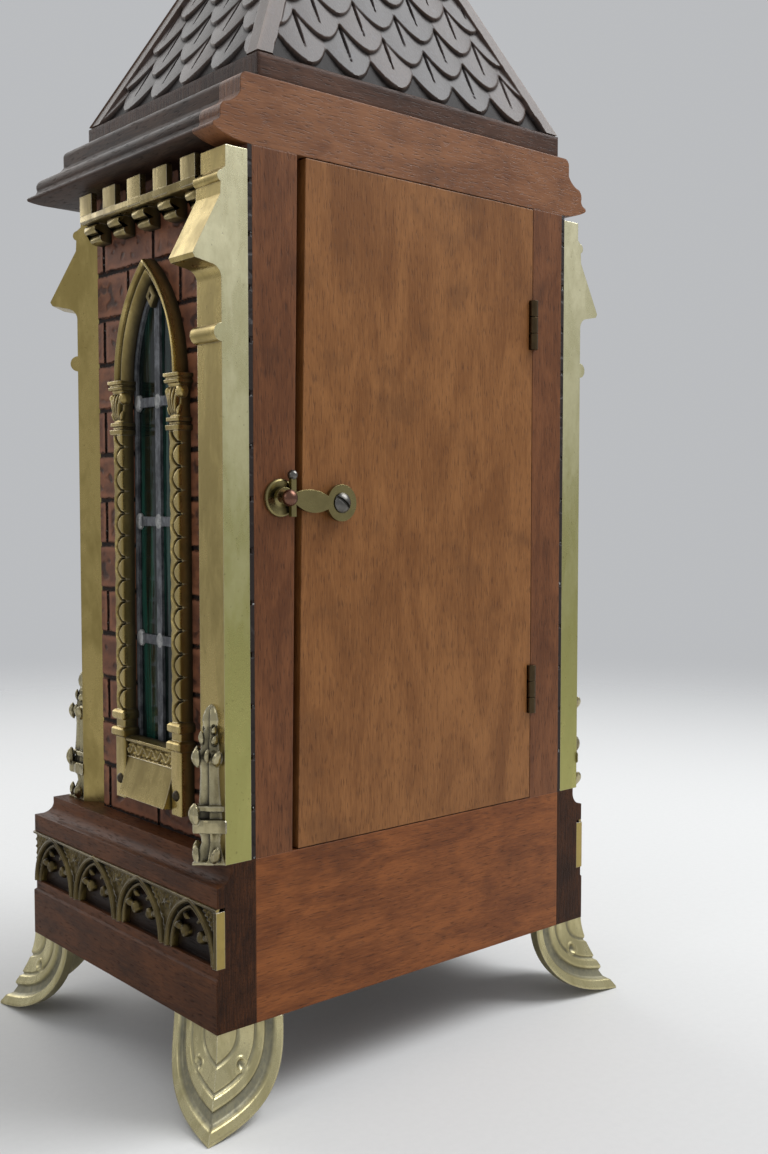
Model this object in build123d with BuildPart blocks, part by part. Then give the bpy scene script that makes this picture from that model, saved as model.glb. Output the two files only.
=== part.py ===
"""Gothic church-tower table clock: wooden case, cast brass trim, back door and a spring-driven movement.

Millimetres, +Z up, the dial faces -Y and the back door +Y.
"""
import os
from math import acos, atan2, cos, degrees, pi, radians, sin, sqrt

from build123d import *

os.makedirs("parts", exist_ok=True)

# Heights of the stack from the table up
foot_height = 30.0
plinth_height = 55.5
body_height = 232.5
cornice_height = 22.5
roof_board_height = 7.5
roof_rise = 128.0

# Plan sizes and board thicknesses
plinth_width = 181.4
plinth_depth = 133.0
plinth_board = 15.7
wall_board = 10.0
back_board = 12.0
floor_board = 8.0
facing_thickness = 1.7
roof_half_width = 72.4
roof_depth = 113.5
roof_inset = 2.3
corner_chamfer = 19.2

# Clearances
part_gap = 0.3
running_fit = 0.05

# Levels and planes that follow from them
back_y = plinth_depth / 2
body_half = plinth_width / 2 - plinth_board
front_y = plinth_board - plinth_depth / 2
inner_back_y = back_y - back_board
inner_front_y = front_y + wall_board
inner_half = body_half - wall_board
facing_half = body_half + facing_thickness
facing_front_y = front_y - facing_thickness
chamfer_start_y = facing_front_y + corner_chamfer
plinth_top = foot_height + plinth_height
body_top = plinth_top + body_height
cornice_top = body_top + cornice_height
roof_base = cornice_top + roof_board_height
roof_apex = roof_base + roof_rise
roof_mid_y = back_y - roof_depth / 2

# Plinth moulding
plinth_band = 17.4
frieze_recess = 3.4
frieze_bottom = foot_height + plinth_band + 4.1
frieze_top = foot_height + 41.6
fillet_height = 6.6
cove_reach = 6.0

# Cornice moulding
cornice_reach = 14.7
cornice_crown_reach = 4.2

# Buttresses
buttress_width = 14.3
buttress_shaft = 10.2
buttress_roll_drop = 60.7
buttress_roll = 2.9
gable_reach = 20.8
gable_drop = 37.0
gable_height = 19.5
buttress_head = 8.4
buttress_top_gap = 1.8

# Pinnacles on the buttresses
pinnacle_height = 52.0
pinnacle_half = 8.0
pinnacle_reach = 8.0

# Side windows
window_y = 9.2
window_half = 16.2
arch_outer_half = 21.0
arch_offset = 30.5
spring_drop = 70.0
window_rise = 28.5
frame_rise = 8.5
column_mid = 19.5
column_width = 5.8
capital_height = 20.0
capital_width = 9.4
column_base_rise = 31.5
column_base_height = 10.0
frame_depth = 5.0
sill_half = 15.2
sill_reach = 8.6

# Front windows under the dial
front_window_x = 31.0
front_spring_drop = 84.0
front_capital_height = 16.0

# Glazing
glass_thickness = 2.0
glass_setback = 1.4
came_width = 3.4
came_thickness = 1.2
came_pitch = 43.0
came_first_rise = 39.6

# Battlements
merlon_width = 8.9
merlon_pitch = 17.6
merlon_height = 7.5
merlon_thickness = 2.5
battlement_reach = 8.8
battlement_shelf = 3.0
battlement_top_gap = 0.6
corbel_width = 8.0
corbel_height = 7.0
side_merlons = 5
front_merlons = 6

# Arcade friezes on the plinth
frieze_plate = 2.2
frieze_rib = 1.5
rib_width = 2.6
arch_foot = 5.6
side_arches = 4
front_arches = 5
cusp_radius = 2.4

# Feet
foot_wing = 27.0
foot_toe = 11.0
foot_shell = 6.0
foot_groove = 1.0
foot_flat = 3.0

# Brickwork
course_height = 17.0
brick_length = 36.0
mortar_width = 1.7
mortar_depth = 0.7

# Back door and its gaps
stile_width = 16.6
stile_taper = 3.2
latch_gap_top = 3.6
latch_gap_bottom = 2.6
door_edge_gap = 0.3
door_end_gap = 0.4

# Butt hinges
hinge_height = 19.0
hinge_top_drop = 45.2
hinge_bottom_rise = 44.0
knuckle_radius = 1.75
hinge_pin_radius = 0.8
leaf_thickness = 0.9
leaf_depth = 10.0
hinge_standoff = 0.6

# Latch
latch_setback = 17.7
latch_rise = 117.7
eye_radius = 6.3
hook_thickness = 1.6
hook_standoff = 1.6
pivot_radius = 1.6
screw_head_radius = 3.5
screw_head_height = 2.0
stud_setback = 6.3
stud_rise = 1.6
rosette_radius = 6.4
rosette_thickness = 1.5
stud_neck_radius = 1.6
stud_head_radius = 2.8
stud_head_collar = 1.6
bar_width = 2.0
bar_below = 6.2
bar_above = 6.4
ball_radius = 1.7

# Roof slates
slate_width = 20.0
slate_rise = 12.0
slate_tip = 8.8
slate_lift = 2.2
slate_thickness = 2.6
hip_width = 6.0
hip_lift = 2.0
slope_board = 6.0
roof_cut_radius = 5.5

# Finial
finial_ball_radius = 6.0
finial_height = 34.0

# Dial, bezel and hands
dial_drop = 68.0
dial_radius = 48.0
dial_thickness = 1.0
dial_hole_radius = 18.0
winding_hole_radius = 4.0
bezel_outer_radius = 47.6
bezel_inner_radius = 41.0
bezel_depth = 7.6
bezel_hinge_x = -50.6
bezel_lug_radius = 1.9
bezel_lug_height = 6.0
bezel_pin_radius = 0.8
watch_glass = 1.6
minute_hand_length = 36.0
hour_hand_length = 25.0
hand_thickness = 0.8

# Movement plates
plate_half = 40.0
plate_rise = 46.0
plate_drop = 50.0
plate_thickness = 2.0
plate_spacing = 24.0
plate_standoff = 4.8
pillar_radius = 2.5
pillar_inset = 6.0

# Wheel work
module = 0.5
great_module = 0.6
great_teeth = 72
great_thickness = 1.6
centre_pinion_teeth = 8
centre_teeth = 78
third_pinion_teeth = 6
third_teeth = 72
escape_pinion_teeth = 6
cannon_teeth = 15
minute_wheel_teeth = 45
minute_pinion_teeth = 12
hour_teeth = 48
escape_teeth = 36
ratchet_teeth = 24
wheel_thickness = 1.2
wheel_rim = 3.0
arm_width = 2.2
wheel_tip = 0.45
pinion_tip = 0.70
tooth_root = 1.15
tooth_root_half = 0.25
tooth_tip_half = 0.10
centre_arbor_radius = 1.2
arbor_radius = 0.8
pivot_pin_radius = 0.5
barrel_radius = 18.0
barrel_length = 13.0
barrel_wall = 1.2
winding_radius = 2.0
winding_square = 3.2
escape_radius = 8.0
third_angle = 143.0
pallet_rise = 11.5
pallet_spread = 62.0
pipe_wall = 0.9
cannon_wall = 0.6

# Pendulum
pendulum_length = 102.0
pendulum_rod_radius = 0.9
bob_radius = 14.0
bob_thickness = 6.0
fork_drop = 27.0
suspension_radius = 1.0
eye_ring_radius = 2.6
cock_half = 12.0

# Levels of the fittings, tied to the plinth, the cornice and each other
dial_z = body_top - dial_drop
winding_z = dial_z - great_module * (great_teeth + centre_pinion_teeth) / 2
buttress_roll_z = body_top - buttress_roll_drop
gable_z = body_top - gable_drop
gable_top_z = gable_z + gable_height
spring_z = body_top - spring_drop
front_spring_z = dial_z - front_spring_drop
window_bottom = plinth_top + window_rise
frame_bottom = plinth_top + frame_rise
capital_bottom = spring_z - capital_height
front_capital_bottom = front_spring_z - front_capital_height
column_base_bottom = plinth_top + column_base_rise
came_first_z = window_bottom + came_first_rise
hinge_levels = (body_top - hinge_top_drop, plinth_top + hinge_bottom_rise)
latch_edge = body_half - stile_width
latch_x = latch_edge - latch_setback
latch_z = plinth_top + latch_rise
stud_x = latch_edge + stud_setback
stud_z = latch_z + stud_rise
bar_bottom_z = stud_z - bar_below
bar_top_z = stud_z + bar_above


def upright(y):
    """Sketch plane facing the front: local x is X, local y is Z, and a positive extrude runs to -Y."""
    return Plane(origin=(0, y, 0), x_dir=(1, 0, 0), z_dir=(0, -1, 0))


def sideways(x):
    """Sketch plane facing +X: local x is Y, local y is Z."""
    return Plane(origin=(x, 0, 0), x_dir=(0, 1, 0), z_dir=(1, 0, 0))


right_section = Plane(origin=(body_half, inner_back_y, 0), x_dir=(1, 0, 0), z_dir=(0, -1, 0))
right_plinth_section = Plane(origin=(body_half, back_y, 0), x_dir=(1, 0, 0), z_dir=(0, -1, 0))
front_section = Plane(origin=(0, front_y, 0), x_dir=(0, -1, 0), z_dir=(-1, 0, 0))
right_mitre = Plane(origin=(body_half, front_y, 0), x_dir=(0, 0, 1), z_dir=(1, 1, 0))
left_mitre = Plane(origin=(-body_half, front_y, 0), x_dir=(0, 0, 1), z_dir=(-1, 1, 0))


def plinth_profile():
    """Moulded plinth board, drawn outward from the wall of the case."""
    low = foot_height
    out = plinth_board
    shoulder = frieze_top + fillet_height
    with BuildLine() as outline:
        Polyline(
            (0, plinth_top),
            (0, low),
            (out, low),
            (out, low + plinth_band),
            (out - 0.8, low + plinth_band + 0.8),
            (out - 0.8, frieze_bottom),
            (out - frieze_recess, frieze_bottom),
            (out - frieze_recess, frieze_top),
            (out - 0.5, frieze_top),
            (out - 0.5, shoulder),
            (out - 1.3, shoulder + 0.2),
        )
        ThreePointArc(
            (out - 1.3, shoulder + 0.2),
            (out - cove_reach + 1.3, (shoulder + plinth_top) / 2 - 1.8),
            (out - cove_reach, plinth_top - 1.6),
        )
        Polyline((out - cove_reach, plinth_top - 1.6), (out - cove_reach, plinth_top), (0, plinth_top))
    make_face(outline.edges())


def cornice_profile():
    """Cornice moulding, drawn outward from the wall of the case."""
    low = body_top
    tip = cornice_reach
    crown = cornice_crown_reach
    with BuildLine() as outline:
        Line((0, cornice_top), (0, low))
        Spline((0, low), (tip - 5.0, low + 1.4), (tip - 0.5, low + 3.2), tangents=((1, 0.05), (1, 0.55)))
        ThreePointArc((tip - 0.5, low + 3.2), (tip, low + 4.1), (tip - 0.5, low + 4.8))
        ThreePointArc((tip - 0.5, low + 4.8), (tip - 2.3, low + 5.8), (tip - 2.9, low + 7.4))
        ThreePointArc((tip - 2.9, low + 7.4), (tip - 2.9, low + 9.8), (tip - 4.3, low + 11.5))
        ThreePointArc((tip - 4.3, low + 11.5), (tip - 8.4, low + 13.4), (crown, low + 16.0))
        Line((crown, low + 16.0), (crown, cornice_top - 2.6))
        ThreePointArc(
            (crown, cornice_top - 2.6), (crown - 0.8, cornice_top - 0.7), (crown - 2.6, cornice_top)
        )
        Line((crown - 2.6, cornice_top), (0, cornice_top))
    make_face(outline.edges())


def lancet(middle, half, bottom, spring, mode=Mode.ADD):
    """Pointed-arch opening with its two arcs struck from points inside the other jamb."""
    radius = half + arch_offset
    sweep = acos(arch_offset / radius)
    apex = spring + radius * sin(sweep)
    shoulder = (half - radius + radius * cos(sweep / 2), spring + radius * sin(sweep / 2))
    left = middle - half
    right = middle + half
    with BuildLine() as outline:
        Polyline((left, spring), (left, bottom), (right, bottom), (right, spring))
        ThreePointArc((right, spring), (middle + shoulder[0], shoulder[1]), (middle, apex))
        ThreePointArc((middle, apex), (middle - shoulder[0], shoulder[1]), (left, spring))
    make_face(outline.edges(), mode=mode)


def lancet_apex(half, spring):
    """Height of the point of a lancet."""
    return spring + sqrt((half + arch_offset) ** 2 - arch_offset**2)


def buttress_profile():
    """Section of a buttress, drawn outward from the brick facing."""
    shaft = buttress_shaft
    roll = buttress_roll
    top = body_top - buttress_top_gap
    with BuildLine() as outline:
        Polyline((0, top), (0, plinth_top), (shaft, plinth_top), (shaft, buttress_roll_z - roll))
        ThreePointArc(
            (shaft, buttress_roll_z - roll), (shaft + roll, buttress_roll_z), (shaft, buttress_roll_z + roll)
        )
        Line((shaft, buttress_roll_z + roll), (shaft, gable_z - 7.0))
        ThreePointArc(
            (shaft, gable_z - 7.0), (shaft + 1.0, gable_z - 4.0), (shaft + 3.6, gable_z - 2.6)
        )
        Polyline(
            (shaft + 3.6, gable_z - 2.6),
            (gable_reach - 0.8, gable_z - 1.4),
            (gable_reach, gable_z),
            (shaft + 0.2, gable_top_z),
            (shaft, gable_top_z + 4.0),
        )
        ThreePointArc(
            (shaft, gable_top_z + 4.0), (shaft + 1.3, gable_top_z + 6.0), (shaft - 0.2, gable_top_z + 7.6)
        )
        Polyline(
            (shaft - 0.2, gable_top_z + 7.6),
            (buttress_head, gable_top_z + 9.0),
            (buttress_head, top),
            (0, top),
        )
    make_face(outline.edges())


def buttress(seat):
    """Cast buttress on a seat plane, whose x axis points out of the case."""
    with BuildSketch(Plane(origin=seat.origin, x_dir=seat.x_dir, z_dir=-seat.y_dir)) as face:
        buttress_profile()
    extrude(face.sketch, amount=buttress_width / 2, both=True)


def pinnacle_section(plane, half, reach):
    """One triangular section of a pinnacle, with its ridge pointing outward."""
    shaft = buttress_shaft
    with BuildSketch(plane) as face:
        with BuildLine() as outline:
            Polyline((shaft, -half), (shaft + reach, 0), (shaft, half), close=True)
        make_face(outline.edges())
    return face.sketch.face()


def pinnacle(seat):
    """Stepped canopy, pedestal and spire standing on the foot of a buttress."""
    steps = [
        (0.0, 0.84, 0.80),
        (0.12, 0.62, 0.60),
        (0.20, 1.00, 1.00),
        (0.30, 1.00, 1.00),
        (0.36, 0.64, 0.64),
        (0.56, 0.52, 0.52),
        (0.60, 0.80, 0.76),
        (0.66, 0.58, 0.58),
        (0.82, 0.38, 0.40),
        (0.93, 0.36, 0.36),
        (1.00, 0.10, 0.12),
    ]
    sections = [
        pinnacle_section(
            seat.offset(plinth_top + rise * pinnacle_height), half * pinnacle_half, reach * pinnacle_reach
        )
        for rise, half, reach in steps
    ]
    loft(sections, ruled=True)


def window_frame(middle, spring, capital, plane):
    """Cast frame of one lancet: arch, two columns on pedestals and a sloping sill."""
    ring = arch_outer_half - window_half
    jamb = column_mid - column_width / 2
    with BuildSketch(plane) as face:
        lancet(middle, arch_outer_half, spring - 3.0, spring)
        lancet(middle, window_half, spring - 4.0, spring, mode=Mode.SUBTRACT)
    extrude(face.sketch, amount=frame_depth)
    with BuildSketch(plane) as face:
        lancet(middle, arch_outer_half - ring * 0.3, spring - 3.0, spring)
        lancet(middle, arch_outer_half - ring * 0.7, spring - 4.0, spring, mode=Mode.SUBTRACT)
    extrude(face.sketch, amount=frame_depth + 0.9)
    base = column_base_bottom
    steps = [
        (spring - 3.6, spring - 0.4, capital_width, frame_depth + 1.8),
        (capital + 3.6, spring - 3.6, capital_width - 2.0, frame_depth + 0.8),
        (capital, capital + 3.6, capital_width - 0.8, frame_depth + 1.4),
        (base + column_base_height, capital, column_width, frame_depth + 0.4),
        (base + 6.5, base + column_base_height, column_width + 1.4, frame_depth + 1.0),
        (base + 3.0, base + 6.5, column_width + 2.4, frame_depth + 1.5),
        (base, base + 3.0, column_width + 3.4, frame_depth + 2.0),
        (frame_bottom, base, column_width + 0.8, frame_depth + 0.6),
    ]
    for low, high, width, depth in steps:
        with BuildSketch(plane) as face:
            with Locations((middle - column_mid, (low + high) / 2), (middle + column_mid, (low + high) / 2)):
                Rectangle(width, high - low)
        extrude(face.sketch, amount=depth)
    with BuildSketch(plane) as face:
        with Locations((middle, (window_bottom - 2.5 + column_base_bottom) / 2)):
            Rectangle(2 * jamb + 1.0, column_base_bottom - window_bottom + 2.5)
    extrude(face.sketch, amount=frame_depth)
    with BuildSketch(plane) as face:
        with Locations((middle, (frame_bottom + window_bottom - 2.5) / 2)):
            Rectangle(2 * jamb + 1.0, window_bottom - 2.5 - frame_bottom)
    extrude(face.sketch, amount=2.0)
    sill = Plane(
        origin=plane.from_local_coords((middle + sill_half, 0, 0)), x_dir=plane.z_dir, z_dir=-plane.x_dir
    )
    with BuildSketch(sill) as face:
        with BuildLine() as outline:
            Polyline(
                (0, window_bottom - 2.5),
                (0.5 * frame_depth, window_bottom - 2.5),
                (sill_reach, frame_bottom + 2.4),
                (sill_reach, frame_bottom + 0.8),
                (0, frame_bottom + 0.8),
                close=True,
            )
        make_face(outline.edges())
    extrude(face.sketch, amount=2 * sill_half)


def came_lattice(middle, bottom, spring, plane):
    """Lead strips over one window: a border, one upright and level bars."""
    half = window_half - running_fit
    top = lancet_apex(half, spring)
    levels = int((spring - came_first_z) // came_pitch) + 1
    with BuildSketch(plane) as face:
        lancet(middle, half, bottom, spring)
        lancet(middle, half - came_width / 2, bottom + came_width / 2, spring, mode=Mode.SUBTRACT)
        with Locations((middle, (bottom + top) / 2 - came_width)):
            Rectangle(came_width, top - bottom - 2 * came_width)
        with Locations([(middle, came_first_z + came_pitch * k) for k in range(max(levels, 1))]):
            Rectangle(2 * half - came_width / 2, came_width)
    extrude(face.sketch, amount=came_thickness)


def corner_cut():
    """Stopped chamfer on the two front corners of the body, where the diagonal buttresses stand."""
    leg = corner_chamfer + 2 * facing_thickness
    corner_x = facing_half + facing_thickness
    corner_y = facing_front_y - facing_thickness
    with BuildSketch(Plane.XY.offset(plinth_top)) as face:
        for side in (-1, 1):
            with BuildLine() as outline:
                Polyline(
                    (side * corner_x, corner_y),
                    (side * corner_x, corner_y + leg),
                    (side * (corner_x - leg), corner_y),
                    close=True,
                )
            make_face(outline.edges())
    extrude(face.sketch, amount=body_height, mode=Mode.SUBTRACT)


def brick_joints(length, shift):
    """Mortar joints over one facing: level beds and staggered uprights, centred on the sketch origin."""
    courses = int(body_height // course_height) + 1
    with Locations([(shift, plinth_top + course_height * k) for k in range(1, courses)]):
        Rectangle(length, mortar_width)
    uprights = []
    bricks = int(length // brick_length) + 2
    for k in range(courses):
        low = plinth_top + course_height * k
        high = min(low + course_height, body_top)
        for j in range(-bricks, bricks):
            x = (j + 0.5 * (k % 2)) * brick_length
            if abs(x) < length / 2 - mortar_width:
                uprights.append((shift + x, low, high))
    for x, low, high in uprights:
        with Locations((x, (low + high) / 2)):
            Rectangle(mortar_width, high - low)


def battlement(middle, count, plane):
    """Crenellated cornice band with stepped corbels under its merlons."""
    top = body_top - battlement_top_gap
    shelf_top = top - merlon_height
    shelf_low = shelf_top - battlement_shelf
    length = merlon_pitch * (count - 1) + merlon_width
    spots = [middle + merlon_pitch * (k - (count - 1) / 2) for k in range(count)]
    with BuildSketch(plane) as face:
        with Locations((middle, (shelf_low + shelf_top) / 2)):
            Rectangle(length, battlement_shelf)
    extrude(face.sketch, amount=battlement_reach)
    with BuildSketch(plane.offset(battlement_reach - merlon_thickness)) as face:
        with Locations([(spot, (shelf_low + top) / 2) for spot in spots]):
            Rectangle(merlon_width, top - shelf_low)
    extrude(face.sketch, amount=merlon_thickness)
    for share, reach in ((1.0, 4.6), (0.5, 7.4)):
        drop = corbel_height * share
        with BuildSketch(plane) as face:
            with Locations([(spot, shelf_low - drop / 2) for spot in spots]):
                Rectangle(corbel_width, drop)
        extrude(face.sketch, amount=reach)


def arcade(length, middle, count, plane):
    """Pierced arcade strip: a row of pointed arches with raised ribs and leaf cusps."""
    pitch = length / count
    half = (pitch - arch_foot) / 2
    rise = frieze_top - frieze_bottom - 2.0
    radius = (half**2 + rise**2) / (2 * half)
    bend = acos((radius - half) / radius) / 2
    lean = (half - radius + radius * cos(bend), radius * sin(bend))
    spots = [middle + pitch * (k - (count - 1) / 2) for k in range(count)]

    def arch(spot, grow, mode):
        scale_x = (half + grow) / half
        scale_z = (rise + grow) / rise
        with BuildLine() as outline:
            Line((spot - half - grow, frieze_bottom), (spot + half + grow, frieze_bottom))
            ThreePointArc(
                (spot + half + grow, frieze_bottom),
                (spot + lean[0] * scale_x, frieze_bottom + lean[1] * scale_z),
                (spot, frieze_bottom + rise + grow),
            )
            ThreePointArc(
                (spot, frieze_bottom + rise + grow),
                (spot - lean[0] * scale_x, frieze_bottom + lean[1] * scale_z),
                (spot - half - grow, frieze_bottom),
            )
        make_face(outline.edges(), mode=mode)

    with BuildSketch(plane) as face:
        with Locations((middle, (frieze_bottom + frieze_top) / 2)):
            Rectangle(length, frieze_top - frieze_bottom)
        for spot in spots:
            arch(spot, -rib_width / 2, Mode.SUBTRACT)
        cusps = [(s + side * half * 0.74, frieze_bottom + rise * 0.42) for s in spots for side in (-1, 1)]
        with Locations(cusps):
            Circle(cusp_radius)
    extrude(face.sketch, amount=frieze_plate)
    with BuildSketch(plane) as face:
        for spot in spots:
            arch(spot, rib_width / 2 - 0.2, Mode.ADD)
        for spot in spots:
            arch(spot, -rib_width / 2, Mode.SUBTRACT)
    extrude(face.sketch, amount=frieze_plate + frieze_rib)
    with BuildSketch(plane) as face:
        with Locations([(middle + pitch * (k - count / 2), frieze_top - 5.6) for k in range(1, count)]):
            Circle(3.0)
    extrude(face.sketch, amount=frieze_plate + frieze_rib - 0.4)


def toothed(x, z, teeth, size, turn, tip, root):
    """Toothed disc centred on x, z with straight flanks; one tooth points along turn, in degrees."""
    pitch_radius = teeth * size / 2
    step = 2 * pi / teeth
    low = pitch_radius - root * size
    high = pitch_radius + tip * size
    points = []
    for k in range(teeth):
        middle = radians(turn) + k * step
        points.append((low, middle - tooth_root_half * step))
        points.append((high, middle - tooth_tip_half * step))
        points.append((high, middle + tooth_tip_half * step))
        points.append((low, middle + tooth_root_half * step))
    with BuildLine() as outline:
        Polyline([(x + r * cos(a), z + r * sin(a)) for r, a in points], close=True)
    make_face(outline.edges())


def wheel(x, z, teeth, size, turn, back, thickness, hub):
    """Spoked wheel: a toothed rim with four arms, from its back face towards the front."""
    rim = teeth * size / 2 - wheel_rim * size
    with BuildSketch(upright(back)) as face:
        toothed(x, z, teeth, size, turn, wheel_tip, tooth_root)
    extrude(face.sketch, amount=thickness)
    with BuildSketch(upright(back)) as face:
        with Locations((x, z)):
            Circle(rim)
            Circle(hub, mode=Mode.SUBTRACT)
            Rectangle(2 * rim, arm_width, mode=Mode.SUBTRACT)
            Rectangle(arm_width, 2 * rim, mode=Mode.SUBTRACT)
    extrude(face.sketch, amount=thickness, mode=Mode.SUBTRACT)


def pinion(x, z, teeth, size, turn, back, thickness):
    """Leaf pinion from its back face towards the front."""
    with BuildSketch(upright(back)) as face:
        toothed(x, z, teeth, size, turn, pinion_tip, tooth_root)
    extrude(face.sketch, amount=thickness)


def rod(x, z, radius, back, front, mode=Mode.ADD):
    """Round rod along Y between two depths."""
    with BuildSketch(upright(back)) as face:
        with Locations((x, z)):
            Circle(radius)
    extrude(face.sketch, amount=back - front, mode=mode)


def slab(x, z, width, height, back, front, mode=Mode.ADD):
    """Rectangular slab facing the front between two depths."""
    with BuildSketch(upright(back)) as face:
        with Locations((x, z)):
            Rectangle(width, height)
    extrude(face.sketch, amount=back - front, mode=mode)


# Plinth boards
with BuildPart() as plinth_side_right:
    with BuildSketch(right_plinth_section):
        plinth_profile()
    extrude(amount=plinth_depth)
    split(bisect_by=right_mitre, keep=Keep.TOP)

with BuildPart() as plinth_side_left:
    mirror(plinth_side_right.part, about=Plane.YZ)

with BuildPart() as plinth_front:
    with BuildSketch(front_section):
        plinth_profile()
    extrude(amount=plinth_width / 2, both=True)
    split(bisect_by=right_mitre, keep=Keep.BOTTOM)
    split(bisect_by=left_mitre, keep=Keep.BOTTOM)

with BuildPart() as plinth_back:
    with BuildSketch(upright(back_y)):
        with Locations((0, (foot_height + plinth_top) / 2)):
            Rectangle(2 * body_half, plinth_height)
    extrude(amount=back_board)

with BuildPart() as case_floor:
    with BuildSketch(Plane.XY.offset(foot_height)):
        with Locations((0, (inner_front_y + inner_back_y) / 2)):
            Rectangle(2 * inner_half, inner_back_y - inner_front_y)
    extrude(amount=floor_board)

# Case walls
with BuildPart() as case_side_right:
    with BuildSketch(sideways(inner_half)):
        with Locations(((inner_front_y + inner_back_y) / 2, (foot_height + cornice_top) / 2)):
            Rectangle(inner_back_y - inner_front_y, cornice_top - foot_height)
        lancet(window_y, window_half, window_bottom, spring_z, mode=Mode.SUBTRACT)
    extrude(amount=wall_board)
    corner_cut()

with BuildPart() as case_side_left:
    mirror(case_side_right.part, about=Plane.YZ)

with BuildPart() as front_panel:
    with BuildSketch(upright(inner_front_y)):
        with Locations((0, (foot_height + cornice_top) / 2)):
            Rectangle(2 * body_half, cornice_top - foot_height)
        with Locations((0, dial_z)):
            Circle(dial_hole_radius, mode=Mode.SUBTRACT)
        with Locations((0, winding_z)):
            Circle(winding_hole_radius, mode=Mode.SUBTRACT)
        for side in (-1, 1):
            lancet(side * front_window_x, window_half, window_bottom, front_spring_z, mode=Mode.SUBTRACT)
    extrude(amount=wall_board)
    corner_cut()

with BuildPart() as back_stile_right:
    with BuildSketch(upright(back_y)):
        with BuildLine():
            Polyline(
                (body_half, plinth_top),
                (body_half, body_top),
                (body_half - stile_width - stile_taper / 2, body_top),
                (body_half - stile_width + stile_taper / 2, plinth_top),
                close=True,
            )
        make_face()
    extrude(amount=back_board)

# Hinge line of the back door
stile_edge_x = stile_width - body_half
hinge_x = stile_edge_x + door_edge_gap / 2
hinge_y = back_y + hinge_standoff
knuckle_third = (hinge_height - 2 * part_gap) / 3
leaf_top_y = hinge_y - knuckle_radius - part_gap - running_fit
case_leaf_x = stile_edge_x - leaf_thickness / 2
door_edge_x = stile_edge_x + door_edge_gap
door_leaf_x = door_edge_x + leaf_thickness / 2
leaf_mid_y = leaf_top_y - leaf_depth / 2

with BuildPart() as back_stile_left:
    with BuildSketch(upright(back_y)):
        with Locations(((stile_edge_x - body_half) / 2, (plinth_top + body_top) / 2)):
            Rectangle(stile_width, body_height)
    extrude(amount=back_board)
    for level in hinge_levels:
        with BuildSketch(Plane.XY.offset(level - hinge_height / 2)):
            with Locations((hinge_x, hinge_y)):
                Circle(knuckle_radius + part_gap)
            with Locations((case_leaf_x, leaf_mid_y + part_gap)):
                Rectangle(leaf_thickness, leaf_depth + 2 * part_gap)
        extrude(amount=hinge_height, mode=Mode.SUBTRACT)

# Brick facings
with BuildPart() as brick_facing_right:
    with BuildSketch(sideways(body_half)):
        with Locations(((front_y + back_y) / 2, (plinth_top + body_top) / 2)):
            Rectangle(back_y - front_y, body_height)
        lancet(window_y, window_half, window_bottom, spring_z, mode=Mode.SUBTRACT)
    extrude(amount=facing_thickness)
    with BuildSketch(sideways(facing_half)):
        brick_joints(back_y - front_y, (front_y + back_y) / 2)
    extrude(amount=-mortar_depth, mode=Mode.SUBTRACT)
    corner_cut()

with BuildPart() as brick_facing_left:
    mirror(brick_facing_right.part, about=Plane.YZ)

with BuildPart() as brick_facing_front:
    with BuildSketch(upright(front_y)):
        with Locations((0, (plinth_top + body_top) / 2)):
            Rectangle(2 * facing_half, body_height)
        with Locations((0, dial_z)):
            Circle(dial_hole_radius, mode=Mode.SUBTRACT)
        with Locations((0, winding_z)):
            Circle(winding_hole_radius, mode=Mode.SUBTRACT)
        for side in (-1, 1):
            lancet(side * front_window_x, window_half, window_bottom, front_spring_z, mode=Mode.SUBTRACT)
    extrude(amount=facing_thickness)
    with BuildSketch(upright(facing_front_y)):
        brick_joints(2 * facing_half, 0)
    extrude(amount=-mortar_depth, mode=Mode.SUBTRACT)
    corner_cut()

# Cornice
with BuildPart() as cornice_right:
    with BuildSketch(right_section):
        cornice_profile()
    extrude(amount=plinth_depth)
    split(bisect_by=right_mitre, keep=Keep.TOP)

with BuildPart() as cornice_left:
    mirror(cornice_right.part, about=Plane.YZ)

with BuildPart() as cornice_front:
    with BuildSketch(front_section):
        cornice_profile()
    extrude(amount=plinth_width / 2, both=True)
    split(bisect_by=right_mitre, keep=Keep.BOTTOM)
    split(bisect_by=left_mitre, keep=Keep.BOTTOM)

with BuildPart() as cornice_back:
    with BuildSketch(right_section):
        cornice_profile()
        with Locations((-body_half / 2, (body_top + cornice_top) / 2)):
            Rectangle(body_half, cornice_height)
    extrude(amount=-back_board)
    mirror(about=Plane.YZ)

# Roof
with BuildPart() as roof_board:
    with BuildSketch(Plane.XY.offset(cornice_top)):
        with Locations((0, roof_mid_y)):
            Rectangle(2 * roof_half_width, roof_depth)
    extrude(amount=roof_board_height)


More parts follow.
